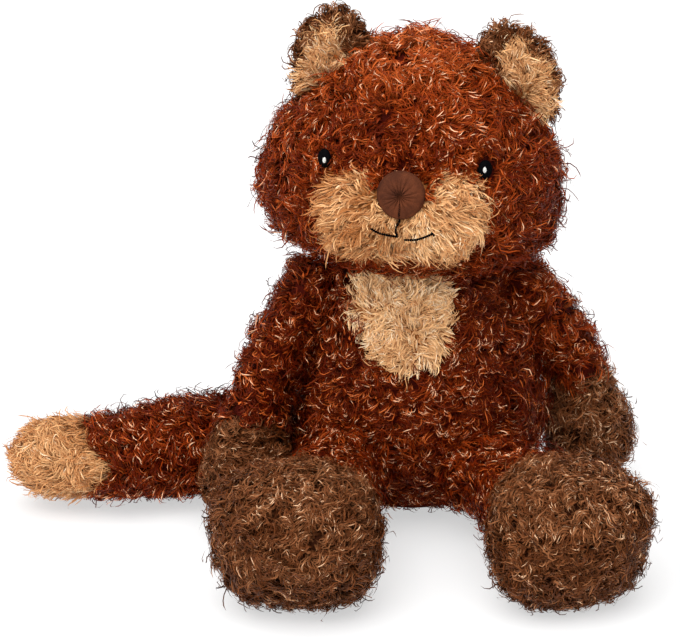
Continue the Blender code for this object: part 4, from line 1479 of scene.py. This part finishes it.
@dataclass
class Eye:
    """Satin-stitched oval with a stitched highlight.

    The oval's height is a low dome with fine ridges along its stitches.
    """

    head: Head
    side: Side
    width: float = 0.0076
    height: float = 0.0098
    thickness: float = 0.0026
    spacing: float = 0.078
    aside: float = -0.0006
    lift: float = 0.0067
    glint_width: float = 0.0019
    glint_height: float = 0.0030
    glint_thickness: float = 0.0009
    glint_sink: float = 0.0003
    glint_places: tuple = ((-0.0009, 0.0006), (0.0014, -0.0002))
    clear_shares: tuple[float, float] = (0.62, 0.36)
    stitches: int = 26
    stitch_depth: float = 0.00012
    columns: int = 48
    back_rings: int = 5
    front_rings: int = 16
    glint_rings: int = 8

    @property
    def centre(self) -> Array:
        """Middle of the eye on the head's skin, in the head's frame."""
        aside = self.side.value * self.spacing / 2 + self.aside
        return np.array([aside, -self.head.front(aside, self.lift), self.lift])

    def gap(self, local: Array) -> Array:
        """Distance of each point from the middle of the eye."""
        return np.linalg.norm(local - self.centre, axis=1)

    def covers(self, local: Array) -> Array:
        """Whether each point of the head's skin lies under the eye.

        Args:
            local: Places in the head's frame.

        Returns:
            One truth value for each point.
        """
        offset, share = local - self.centre, self.side.pick(*self.clear_shares)
        near = (offset[:, 0] / (self.width * share)) ** 2 + (
            offset[:, 2] / (self.height * share)) ** 2
        return (near < 1) & (local[:, 1] < 0)

    def pad(self, wide: float, tall: float, proud: float, rows: int) -> Array:
        """Ridged oval pad facing -Y.

        Args:
            wide: Its width.
            tall: Its height.
            proud: How far its middle stands out.
            rows: Rings of its front.

        Returns:
            Rings from its back pole to its front pole, about the origin.
        """
        angle = circle(self.columns)
        lens = lens_shares(self.back_rings, rows)
        front = np.arange(len(lens))[:, None] >= self.back_rings
        x = lens * np.cos(angle) * wide / 2
        z = lens * np.sin(angle) * tall / 2
        dome = np.sqrt(np.clip(1 - lens ** 2, 0, 1)) * proud
        ridge = np.sin((z + x * 0.35) / self.height * self.stitches * math.pi)
        y = np.where(front, -dome - ridge * self.stitch_depth * (lens < 0.95), dome * 0.5)
        return np.stack([x, y, z], -1)

    def build(self) -> None:
        """Build the eye and its highlight."""
        aside, ahead, _ = self.centre
        outward = math.atan2(aside / (self.head.width / 2) ** 2,
                             -ahead / (self.head.depth / 2) ** 2)
        place = self.head.place @ (Matrix.Translation(self.centre)
                                   @ Matrix.Rotation(outward, 4, "Z"))
        glint_aside, glint_lift = self.side.pick(*self.glint_places)
        glint = self.pad(self.glint_width, self.glint_height, self.glint_thickness,
                         self.glint_rings)
        glint = glint + np.array([glint_aside, -self.thickness + self.glint_sink, glint_lift])
        oval = self.pad(self.width, self.height, self.thickness, self.front_rings)
        for name, node, finish, pad in (("eye_stitching_", "eye_", BLACK, oval),
                                        ("eye_highlight_", "eye_glint_", WHITE, glint)):
            add_piece(name + self.side.label, closed_grid(turned(pad, place)),
                      finish.material, finish.slot, "head", node + self.side.label)


@dataclass
class Mouth:
    """Sewn smile and the thread that falls to it over the nose.

    Each thread is two plies wound round its line: offset(s) = r (cos 2 pi s/l,
    sin 2 pi s/l), and the second ply half a turn on. Its knots are (aside, height).
    """

    muzzle: Muzzle
    nose: Nose
    ply_radius: float = 0.00034
    lay: float = 0.0022
    proud: float = 0.0016
    tick_proud: float = 0.0019
    left: tuple = ((-0.0135, -0.0195), (-0.0085, -0.0220), (0.0, -0.0236))
    right: tuple = ((0.0028, -0.0250), (0.0095, -0.0240), (0.0172, -0.0200))
    tick: tuple = ((0.0160, -0.0192), (0.0178, -0.0212))
    over_nose: tuple = ((0.86, -0.003), (0.72, -0.0085), (0.1, -0.0124))
    fall: tuple = ((-0.0008, -0.0180), (-0.0010, -0.0210), (0.0, -0.0236))

    def on_muzzle(self, knots: tuple, proud: float, count: int = 10) -> Array:
        """Smooth line through (aside, height) knots, lying over the muzzle's strands.

        Args:
            knots: The knots, in order.
            proud: How far it stands off the skin.
            count: Samples between each pair of knots.

        Returns:
            N x 3 places in the head's frame.
        """
        line = spline(np.array([(a, 0.0, h) for a, h in knots]), count)
        line[:, 1] = [-(self.muzzle.front(a, h) + proud) for a, _, h in line]
        return line

    def plies(self, line: Array) -> tuple[Array, Array]:
        """Surface of both plies along a line.

        Args:
            line: Places in the head's frame.

        Returns:
            Vertices and faces.
        """
        reach = distances(line)
        rows = max(12, int(reach[-1] / self.lay * 9))
        distance = np.linspace(0, reach[-1], rows)
        centre = at_distances(line, reach, distance)
        tangent = unit(np.gradient(centre, axis=0))
        side = unit(np.cross(tangent, np.array([0.0, 1.0, 0.0])))
        up = np.cross(side, tangent)
        angle = circle(8)
        close = np.ones(rows)
        close[[0, -1]] = 0.0
        tubes = []
        for ply in range(2):
            wind = 2 * math.pi * distance / self.lay + ply * math.pi
            middle = centre + (side * np.cos(wind)[:, None] + up * np.sin(wind)[:, None]
                               ) * self.ply_radius
            tubes.append(middle[:, None] + (
                side[:, None] * np.cos(angle)[None, :, None]
                + up[:, None] * np.sin(angle)[None, :, None]
            ) * (self.ply_radius * close)[:, None, None])
        return self.joined([closed_grid(tube) for tube in tubes])

    @staticmethod
    def joined(surfaces: list[tuple[Array, Array]]) -> tuple[Array, Array]:
        """Several surfaces as one.

        Args:
            surfaces: Pairs of vertices and faces.

        Returns:
            The vertices and faces of all of them.
        """
        shifts = np.cumsum([0] + [len(points) for points, _ in surfaces[:-1]])
        return (np.vstack([points for points, _ in surfaces]),
                np.vstack([faces + shift for (_, faces), shift in zip(surfaces, shifts)]))

    def add_thread(self, name: str, node: str, lines: list[Array]) -> None:
        """Add one piece of black thread along lines, for a CAD node."""
        points, faces = self.joined([self.plies(line) for line in lines])
        add_piece(name, (turned(points, self.muzzle.head.place), faces), BLACK.material,
                  BLACK.slot, "head", node)

    def build(self) -> None:
        """Build the smile and the upright thread."""
        self.add_thread("smile_thread", "mouth_thread", [
            self.on_muzzle(self.left, self.proud), self.on_muzzle(self.right, self.proud),
            self.on_muzzle(self.tick, self.tick_proud)])
        over = [np.array(self.nose.place() @ Matrix.Translation(
            (0, -self.nose.thickness * ahead, height)))[:3, 3]
            for ahead, height in self.over_nose]
        fall = self.on_muzzle(self.fall, self.proud, 1)
        self.add_thread("upright_thread", "philtrum_thread",
                        [spline(np.vstack([over, fall]), 8)])


@dataclass
class Ear:
    """Cupped ear: a brown back that shows as a rim, and a tan lining.

    The back is an ellipsoid whose sides come forward by bend * (x / half width)^2.
    """

    head: Head
    side: Side
    width: float = 0.043
    height: float = 0.058
    thickness: float = 0.012
    lining_width: float = 0.026
    lining_height: float = 0.044
    lining_thickness: float = 0.010
    lining_forward: float = 0.004
    lining_aside: float = 0.003
    lining_drop: float = 0.004
    rim_depth: float = 0.0035
    lining_depth: float = 0.003
    cup: float = 0.010
    back: float = 0.004
    asides: tuple[float, float] = (0.0490, 0.0437)
    lifts: tuple[float, float] = (0.0400, 0.0425)
    leans: tuple[float, float] = (-22.0, -7.0)
    lining_edge: float = 0.0035
    slack: float = 0.001
    root_drop: float = 0.012
    under_head: float = 0.004

    def place(self) -> Matrix:
        """Matrix from the ear's own frame to the world."""
        aside, lift, lean = (self.side.pick(*pair)
                             for pair in (self.asides, self.lifts, self.leans))
        return (self.head.place @ Matrix.Translation((self.side.value * aside, self.back, lift))
                @ Matrix.Rotation(math.radians(self.side.value * lean), 4, "Y"))

    def cupped(self, aside: Array) -> Array:
        """How far the cup brings each place aside of the middle forward."""
        return self.cup * (aside / (self.width / 2)) ** 2

    def shell(self, wide: float, tall: float, thick: float, shrink: float,
              middle: Array) -> Array:
        """Oval pad, cupped as the whole ear is.

        Args:
            wide: Its width.
            tall: Its height.
            thick: Its thickness.
            shrink: How far its skin lies inside its outline.
            middle: Its centre in the ear's frame.

        Returns:
            Rings from its lower pole to its upper pole.
        """
        rise = np.linspace(-math.pi / 2, math.pi / 2, 28)[:, None]
        angle = circle(64)
        x, y = np.cos(rise) * np.cos(angle), np.cos(rise) * np.sin(angle)
        z = np.broadcast_to(np.sin(rise), x.shape)
        points = middle + np.stack([x * (wide / 2 - shrink), y * (thick / 2 - shrink * 0.5),
                                    z * (tall / 2 - shrink)], -1)
        points[..., 1] -= self.cupped(points[..., 0])
        return points

    def build(self) -> None:
        """Build and dress the ear."""
        place, label = self.place(), self.side.label
        middle = np.array([self.side.value * self.lining_aside, -self.lining_forward,
                           -self.lining_drop])
        back = turned(self.shell(self.width, self.height, self.thickness, self.rim_depth,
                                 np.zeros(3)), place)
        lining = turned(self.shell(self.lining_width, self.lining_height,
                                   self.lining_thickness, self.lining_depth, middle), place)
        add_skin("ear_back_pad_" + label, back, BROWN, "head", "ear_back_" + label, fill=0.4)
        add_skin("ear_lining_pad_" + label, lining, TAN, "head", "ear_lining_" + label,
                 fill=0.4)
        head_form, drift = self.head.form(), Ripples.vectors(0.010, 47)

        def clear(points: Array) -> Array:
            """Whether the head doesn't hide each point."""
            return ~head_form.holds(self.head.own(points), -self.under_head)

        def rim(points: Array) -> Array:
            """Whether each point is clear and not under the lining.

            Args:
                points: Places to ask about.

            Returns:
                One truth value for each point.
            """
            local = turned_back(points, place)
            ahead = local[:, 1] + self.cupped(local[:, 0]) < -self.slack
            wide = self.lining_width / 2 - self.lining_edge
            tall = self.lining_height / 2 - self.lining_edge
            inside = ((local[:, 0] - middle[0]) / wide) ** 2 + (
                (local[:, 2] - middle[2]) / tall) ** 2 < 1
            return clear(points) & ~(inside & ahead)

        def face(points: Array) -> Array:
            """Whether each point is clear and on the lining's front.

            Args:
                points: Places to ask about.

            Returns:
                One truth value for each point.
            """
            local = turned_back(points, place)
            cup = self.cupped(local[:, 0])
            return clear(points) & (local[:, 1] + cup < -self.lining_forward + self.slack)

        def outward(points: Array) -> Array:
            """Direction away from the ear's root.

            Args:
                points: Places on the ear.

            Returns:
                N x 3 directions.
            """
            local = turned_back(points, place) * np.array([1.0, 0.2, 1.0])
            local[:, 2] += self.root_drop
            return unit(local) @ np.array(place)[:3, :3].T + drift(points) * 0.7

        Coat("ear_back_coat_" + label, BROWN,
             Pile(length=0.0085, locks_per_area=90000, spin=(50, 220), loose=0.16,
                  shade=0.5), back, "head", outward, 130 + self.side.value, rim).build()
        Coat("ear_lining_coat_" + label, TAN,
             replace(SMOOTH, length=0.0085, lean=(35, 60), bend=(64, 88), comb=2.0,
                     shade=0.55), lining, "head", outward, 140 + self.side.value,
             face).build()


@dataclass
class Limb:
    """Sleeve and end piece of a limb, split at its seam.

    The strands follow the limb by along, are shorter at the floor by low_share, and
    longer on the side towards the torso by inward. The sleeve's coat is darkened as
    painted shade, and the end's coat is lightened or darkened by place as painted light.
    """

    form: Form
    seam: float
    body: str
    sleeve: str
    end: str
    nodes: tuple[str, str, str]
    end_yarn: Yarn
    seed: int
    sleeve_pile: Pile
    end_pile: Pile
    # Painted light and shade on the end piece's coat, by place.
    lit: FieldOf = lambda points: 0.0
    shift: FieldOf = lambda points: 0.0
    along: float = 0.8
    low_share: float = 0.8
    inward: float = 0.0
    # Painted shade: the sleeve's coat is darkened; arms set their own amount.
    sleeve_shade: float = -0.16
    skin_depth: float = 0.0042
    skin_columns: int = 48
    coat_columns: int = 72
    under_torso: float = 0.007
    seam_overlap: float = 0.001
    seam_waver: float = 0.0012
    floor_bare: float = 0.0015
    inner_reach: float = 0.017

    def build(self, torso: Form) -> None:
        """Build and dress both pieces, beside the torso that hides their root.

        Args:
            torso: The torso's form.
        """
        form, seam, depth = self.form, self.seam, self.skin_depth
        columns, over = self.skin_columns, self.seam_overlap
        add_skin(self.sleeve + "_body", form.skin(depth, columns, end=seam + over), RUST,
                 self.body, *self.nodes[:2])
        add_skin(self.end + "_body", form.skin(depth, columns, start=seam - over),
                 self.end_yarn, self.body, self.nodes[2])
        rings = form.skin(depth, self.coat_columns)
        drift, edge = Ripples.vectors(0.014, self.seed), Ripples(0.008, self.seed + 5)

        def comb(points: Array) -> Array:
            """Direction along the limb."""
            return form.frames(form.beside(points)[0])[1] * self.along + drift(points)

        def shown(points: Array) -> Array:
            """Whether neither the floor nor the torso hides each point."""
            return (points[:, 2] > self.floor_bare) & ~torso.holds(points, -self.under_torso)

        def low(points: Array) -> Array:
            """Length of the strands, shorter at the floor and longer inwards.

            Args:
                points: Places on the limb.

            Returns:
                Share of the pile's length at each place.
            """
            centre = form.frames(form.beside(points)[0])[0]
            inner = np.clip((centre - points)[:, 0] / self.inner_reach
                            * np.sign(points[:, 0]), 0, 1)
            return np.interp(points[:, 2], [0.002, 0.016],
                             [self.low_share, 1.0]) + inner * self.inward

        def past(points: Array) -> Array:
            """Whether each point lies past the seam, which wavers a little."""
            return (form.beside(points)[0] + edge(points) * self.seam_waver
                    > seam + self.shift(points))

        Coat(self.sleeve + "_coat", RUST, self.sleeve_pile, rings, self.body, comb,
             self.seed, lambda p: shown(p) & ~past(p), low,
             lambda p: Ripples(0.03, 81)(p) * 0.06 + self.sleeve_shade).build()
        Coat(self.end + "_coat", self.end_yarn, self.end_pile, rings, self.body, comb,
             self.seed + 1, lambda p: shown(p) & past(p), low,
             lambda p: Ripples(0.02, 82)(p) * 0.07 + self.lit(p)).build()


@dataclass
class Arm:
    """Arm bowed outwards from the shoulder to a brown paw."""

    torso: Torso
    side: Side
    paw_aside: float
    paw_forward: float
    paw_height: float
    bow: float
    wrist_share: float
    shoulder_height: float = 0.12008
    shoulder_radius: float = 0.0175
    stand_off: float = 0.0015
    crease_radius: float = 0.0165
    radius: float = 0.0175
    paw_width: float = 0.045
    paw_depth: float = 0.044
    paw_tip: float = 0.031

    def form(self) -> tuple[Form, float]:
        """The arm's form and the place of its seam.

        Returns:
            The form, and a distance along it.
        """
        side, radius, crease = self.side.value, self.radius, self.crease_radius
        half, _ = self.torso.half_at(self.shoulder_height)
        start = np.array([side * (half + self.stand_off), 0, self.shoulder_height])
        end = np.array([side * (self.torso.width / 2 + self.paw_aside), -self.paw_forward,
                        self.paw_height])
        outward, down = np.array([side, 0.0, 0.0]), unit(end - start)
        outward = unit(outward - down * outward.dot(down))
        share = np.linspace(0, 1, 17)[:, None]
        line = start + (end - start) * share + outward * self.bow * np.sin(math.pi * share)
        reach = steps_of(line).sum()
        wrist = reach * self.wrist_share
        wide, deep = self.paw_width / 2, self.paw_depth / 2
        rows = round_root(self.shoulder_radius) + [
            (wrist * 0.17, crease, crease), (wrist * 0.45, radius, radius),
            (wrist, radius, radius),
            ((wrist + reach) / 2, (wide + radius) / 2, (deep + radius) / 2),
            (reach, wide, deep), *round_end(reach, self.paw_tip, wide, deep)]
        return Form(line, rows, seed=14 + side), wrist

    def build(self, torso: Form) -> None:
        """Build and dress the arm.

        Args:
            torso: The torso's form, which hides the root.
        """
        label, own = self.side.label, self.side.pick
        Limb(*self.form(), f"arm_{label}", f"sleeve_{label}", f"paw_{label}_end",
             (f"arm_sleeve_{label}", f"arm_stuffing_{label}", f"paw_{label}"), BROWN,
             200 + 10 * self.side.value, replace(CURLY, painted_highlight_share=0.2), SHAGGY,
             # Painted light: the paw is paler towards the toy's left.
             lambda p: np.interp(p[:, 0], [0.0, 0.08], [0.0, 0.17]),
             # Painted shade: the right arm's sleeve is darkened much more than the left's.
             inward=own(0.6, 0.0), sleeve_shade=own(-0.06, -0.25)).build(torso)


@dataclass
class Leg:
    """Leg lying forward on the floor, with a large upright foot."""

    torso: Torso
    side: Side
    splay: float
    reach: float
    roll: float = math.radians(7)
    hip_spacing: float = 0.07392
    hip_height: float = 0.036
    hip_radius: float = 0.025
    stand_off: float = 0.0036
    crease_radius: float = 0.0222
    radius: float = 0.0245
    foot_width: float = 0.083
    foot_height: float = 0.071
    square: float = 2.9
    foot_tip: float = 0.033
    ankle_share: float = 0.61
    floor_flat: float = 0.0005

    def form(self) -> tuple[Form, float]:
        """The leg's form and the place of its seam.

        The foot's centre lies as high as its rolled superellipse is tall: with the
        power p, ((w sin r)^q + (h cos r)^q)^(1/q), where q = p / (p - 1).

        Returns:
            The form, and a distance along it.
        """
        side, thin, crease = self.side.value, self.radius, self.crease_radius
        half_width, half_depth = self.torso.half_at(self.hip_height)
        aside = self.hip_spacing / 2
        ahead = half_depth * math.sqrt(1 - (aside / half_width) ** 2) + self.stand_off
        start = np.array([side * aside, -ahead, self.hip_height])
        wide, tall = self.foot_width / 2, self.foot_height / 2
        dual = self.square / (self.square - 1)
        tallest = ((wide * math.sin(self.roll)) ** dual
                   + (tall * math.cos(self.roll)) ** dual) ** (1 / dual)
        rise = tallest - self.floor_flat - start[2]
        level = math.sqrt(self.reach ** 2 - rise ** 2)
        end = start + np.array([side * math.sin(self.splay) * level,
                                -math.cos(self.splay) * level, rise])
        ankle = self.reach * self.ankle_share
        rows = round_root(self.hip_radius) + [
            (ankle * 0.28, crease, crease), (ankle * 0.65, thin, thin),
            *((place, thin + (wide - thin) * share, thin + (tall - thin) * share)
              for place, share in ((ankle, 0.22), ((ankle + self.reach) / 2, 0.8))),
            (self.reach, wide, tall), *round_end(self.reach, self.foot_tip, wide, tall)]
        form = Form([start, end], rows, lump=0.0018, seed=17 + side, square=self.square,
                    square_between=(ankle / 2, self.reach), roll=side * self.roll)
        return form, ankle

    def build(self, torso: Form) -> None:
        """Build and dress the leg.

        Args:
            torso: The torso's form, which hides the root.
        """
        label = self.side.label
        Limb(*self.form(), f"leg_{label}", f"leg_{label}_sleeve", f"foot_{label}_end",
             (f"leg_sleeve_{label}", f"leg_stuffing_{label}", f"foot_{label}"), BROWN,
             230 + 10 * self.side.value, CURLY, SHAGGY,
             # Painted light: the foot is paler on its top.
             lambda p: np.interp(p[:, 2], [0.045, 0.065],
                                 self.side.pick([-0.02, 0.24], [0.0, 0.18])),
             along=0.3, low_share=0.5).build(torso)


@dataclass
class Tail:
    """Tail bent forward round the hip, with strands combed towards its tan tip."""

    torso: Torso
    root_aside: float = 0.035904
    root_radius: float = 0.020
    crease_radius: float = 0.0188
    diameter: float = 0.0565
    tip_diameter: float = 0.043
    length: float = 0.176
    seam_share: float = 0.70
    floor_flat: float = 0.0005
    path_shares: tuple = (
        (0.0, 0.0), (0.17, 0.01), (0.32, -0.06), (0.45, -0.15), (0.64, -0.215),
        (0.84, -0.238), (1.0, -0.243))

    def form(self) -> tuple[Form, float]:
        """The tail's form and the place of its seam.

        Returns:
            The form, and a distance along it.
        """
        height = self.diameter / 2 - self.floor_flat
        half_width, half_depth = self.torso.half_at(height)
        back = half_depth * math.sqrt(1 - (self.root_aside / half_width) ** 2)
        start = np.array([-self.root_aside, back, height])
        knots = start + np.array([(-a, b, 0.0) for a, b in self.path_shares]) * self.length
        line = spline(knots, 6)
        whole = steps_of(line).sum()
        half, small, seam = self.diameter / 2, self.tip_diameter / 2, self.seam_share
        sections = ((0.07, self.crease_radius), (0.19, self.root_radius), (0.42, half),
                    ((0.42 + seam) / 2, half), (seam, (half + small) / 2))
        rows = round_root(self.root_radius) + [
            *((whole * share, radius, radius) for share, radius in sections),
            (whole - small, small, small), *round_end(whole - small, small, small, small)]
        return Form(line, rows, seed=19), whole * seam

    def build(self, torso: Form) -> None:
        """Build and dress the tail.

        Args:
            torso: The torso's form, which hides the root.
        """
        Limb(*self.form(), "tail", "tail_root", "tail_end",
             ("tail_sleeve", "tail_stuffing", "tail_tip"), TAN, 260,
             Pile(length=0.0118, lean=(10, 40), spin=(50, 200), comb=1.6, stray=0.5,
                  painted_highlight_share=0.22, painted_highlight_lift=0.7),
             replace(SMOOTH, length=0.0102, bend=(70, 105), spin=(5, 90), wave=0.4,
                     loose=0.04, locks_per_area=105000, shade=0.33, shade_spread=0.09,
                     painted_highlight_share=0.1),
             shift=lambda p: np.interp(p[:, 2], [0.0, 0.028, 0.056], [0.021, 0.004, 0.019]),
             along=2.2, low_share=0.15).build(torso)


@dataclass
class Studio:
    """White floor, soft daylight and the photograph's camera.

    A sun is (strength, azimuth, elevation, softness), in degrees; azimuth 0 is the
    camera's side.
    """

    target: tuple[float, float, float] = (-0.039, 0.0, 0.1015)
    distance: float = 1.3
    elevation: float = math.radians(20)
    focal_length: float = 0.13235
    sensor_width: float = 0.036
    floor_size: float = 16.0
    floor_glow: float = 0.55
    dome_strength: float = 0.45
    key: tuple[float, float, float, float] = (3.0, -18, 72, 70)
    fill: tuple[float, float, float, float] = (1.3, -40, 30, 60)

    def floor(self) -> None:
        """Pale floor with a faint broad variation, a little lifted for the camera."""
        nodes = Nodes(bpy.data.materials.new("floor_paint"))
        shader = nodes.tree.nodes["Principled BSDF"]
        nodes.finish(shader.name, {
            "Base Color": nodes.ramp(nodes.noise(0.8, 2.0), (0.3, 0.93), (0.7, 0.95)),
            "Roughness": 0.9, "Specular IOR Level": 0.1})
        seen = nodes.add("LightPath").outputs["Is Camera Ray"]
        mix = nodes.add("MixShader", {
            "Fac": nodes.math("MULTIPLY", seen, self.floor_glow), 1: shader.outputs["BSDF"],
            2: nodes.add("Emission").outputs["Emission"]})
        material = nodes.finish("Material Output", {"Surface": mix.outputs["Shader"]})
        corners = np.array([(-1, -1, 0), (1, -1, 0), (1, 1, 0), (-1, 1, 0)])
        mesh_object("studio_floor", corners * self.floor_size / 2,
                             np.array([[0, 1, 2, 3]]), material)

    def sky(self) -> None:
        """White dome: full white to the camera and through glass, soft as light."""
        world = bpy.context.scene.world = bpy.data.worlds.new("studio")
        nodes, white = Nodes(world), (1, 1, 1, 1)
        light = nodes.feed(nodes.tree.nodes["Background"],
                           {"Color": white, "Strength": self.dome_strength})
        seen = nodes.add("Background", {"Color": white})
        path = nodes.add("LightPath").outputs
        either = nodes.math("MAXIMUM", path["Is Camera Ray"], path["Is Transmission Ray"])
        mix = nodes.add("MixShader", {"Fac": either, 1: light.outputs["Background"],
                                      2: seen.outputs["Background"]})
        nodes.finish("World Output", {"Surface": mix.outputs["Shader"]})

    def sun(self, name: str, strength: float, azimuth: float, elevation: float,
            softness: float) -> None:
        """Add broad even light from a direction.

        Args:
            name: Name of the lamp.
            strength: Its strength.
            azimuth: Angle round the toy from the camera's side, in degrees.
            elevation: Angle above the floor, in degrees.
            softness: Angle that the sun's disc takes, in degrees.
        """
        light = bpy.data.lights.new(name, "SUN")
        light.energy, light.angle = strength, math.radians(softness)
        lamp = bpy.data.objects.new(name, light)
        bpy.context.scene.collection.objects.link(lamp)
        lamp.rotation_euler = (math.radians(90 - elevation), 0, math.radians(azimuth))

    def camera(self) -> None:
        """Add the camera at the photograph's place."""
        data = bpy.data.cameras.new("photograph")
        data.sensor_fit = "HORIZONTAL"
        data.sensor_width = self.sensor_width * 1000
        data.lens = self.focal_length * 1000
        camera = bpy.data.objects.new("photograph", data)
        x, y, z = self.target
        camera.location = (x, y - self.distance * math.cos(self.elevation),
                           z + self.distance * math.sin(self.elevation))
        camera.rotation_euler = (math.pi / 2 - self.elevation, 0, 0)
        bpy.context.scene.collection.objects.link(camera)
        bpy.context.scene.camera = camera

    def build(self) -> None:
        """Build the floor, the lights and the camera."""
        self.floor()
        self.sky()
        self.sun("key", *self.key)
        self.sun("fill", *self.fill)
        self.camera()
        bpy.context.scene.view_settings.view_transform = "Standard"


def main() -> None:
    """Build the toy piece by piece, then the studio round it."""
    logging.basicConfig(level=logging.INFO, format="%(message)s")
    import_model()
    torso, head = Torso(), Head()
    muzzle = Muzzle(head)
    nose = Nose(muzzle)
    eyes = [Eye(head, side) for side in Side]
    limbs = [Arm(torso, Side.LEFT, paw_aside=0.0292, paw_forward=-0.0163,
                 paw_height=0.034, bow=0.0082, wrist_share=0.60),
             Arm(torso, Side.RIGHT, paw_aside=0.0225, paw_forward=0.042,
                 paw_height=0.031, bow=0.0065, wrist_share=0.72),
             Leg(torso, Side.LEFT, splay=math.radians(25.5), reach=0.0855),
             Leg(torso, Side.RIGHT, splay=math.radians(14.5), reach=0.0875),
             Tail(torso)]
    torso_form = torso.build([limb.form()[0] for limb in limbs], head)
    LOG.info("torso: built")
    head.build(muzzle, eyes, torso_form)
    muzzle.build(nose)
    for detail in (nose, *eyes, Mouth(muzzle, nose), *(Ear(head, side) for side in Side)):
        detail.build()
    LOG.info("head: built")
    for limb in limbs:
        limb.build(torso_form)
    LOG.info("limbs: built")
    Studio().build()
    LOG.info("scene: ready")


if __name__ == "__main__":
    main()
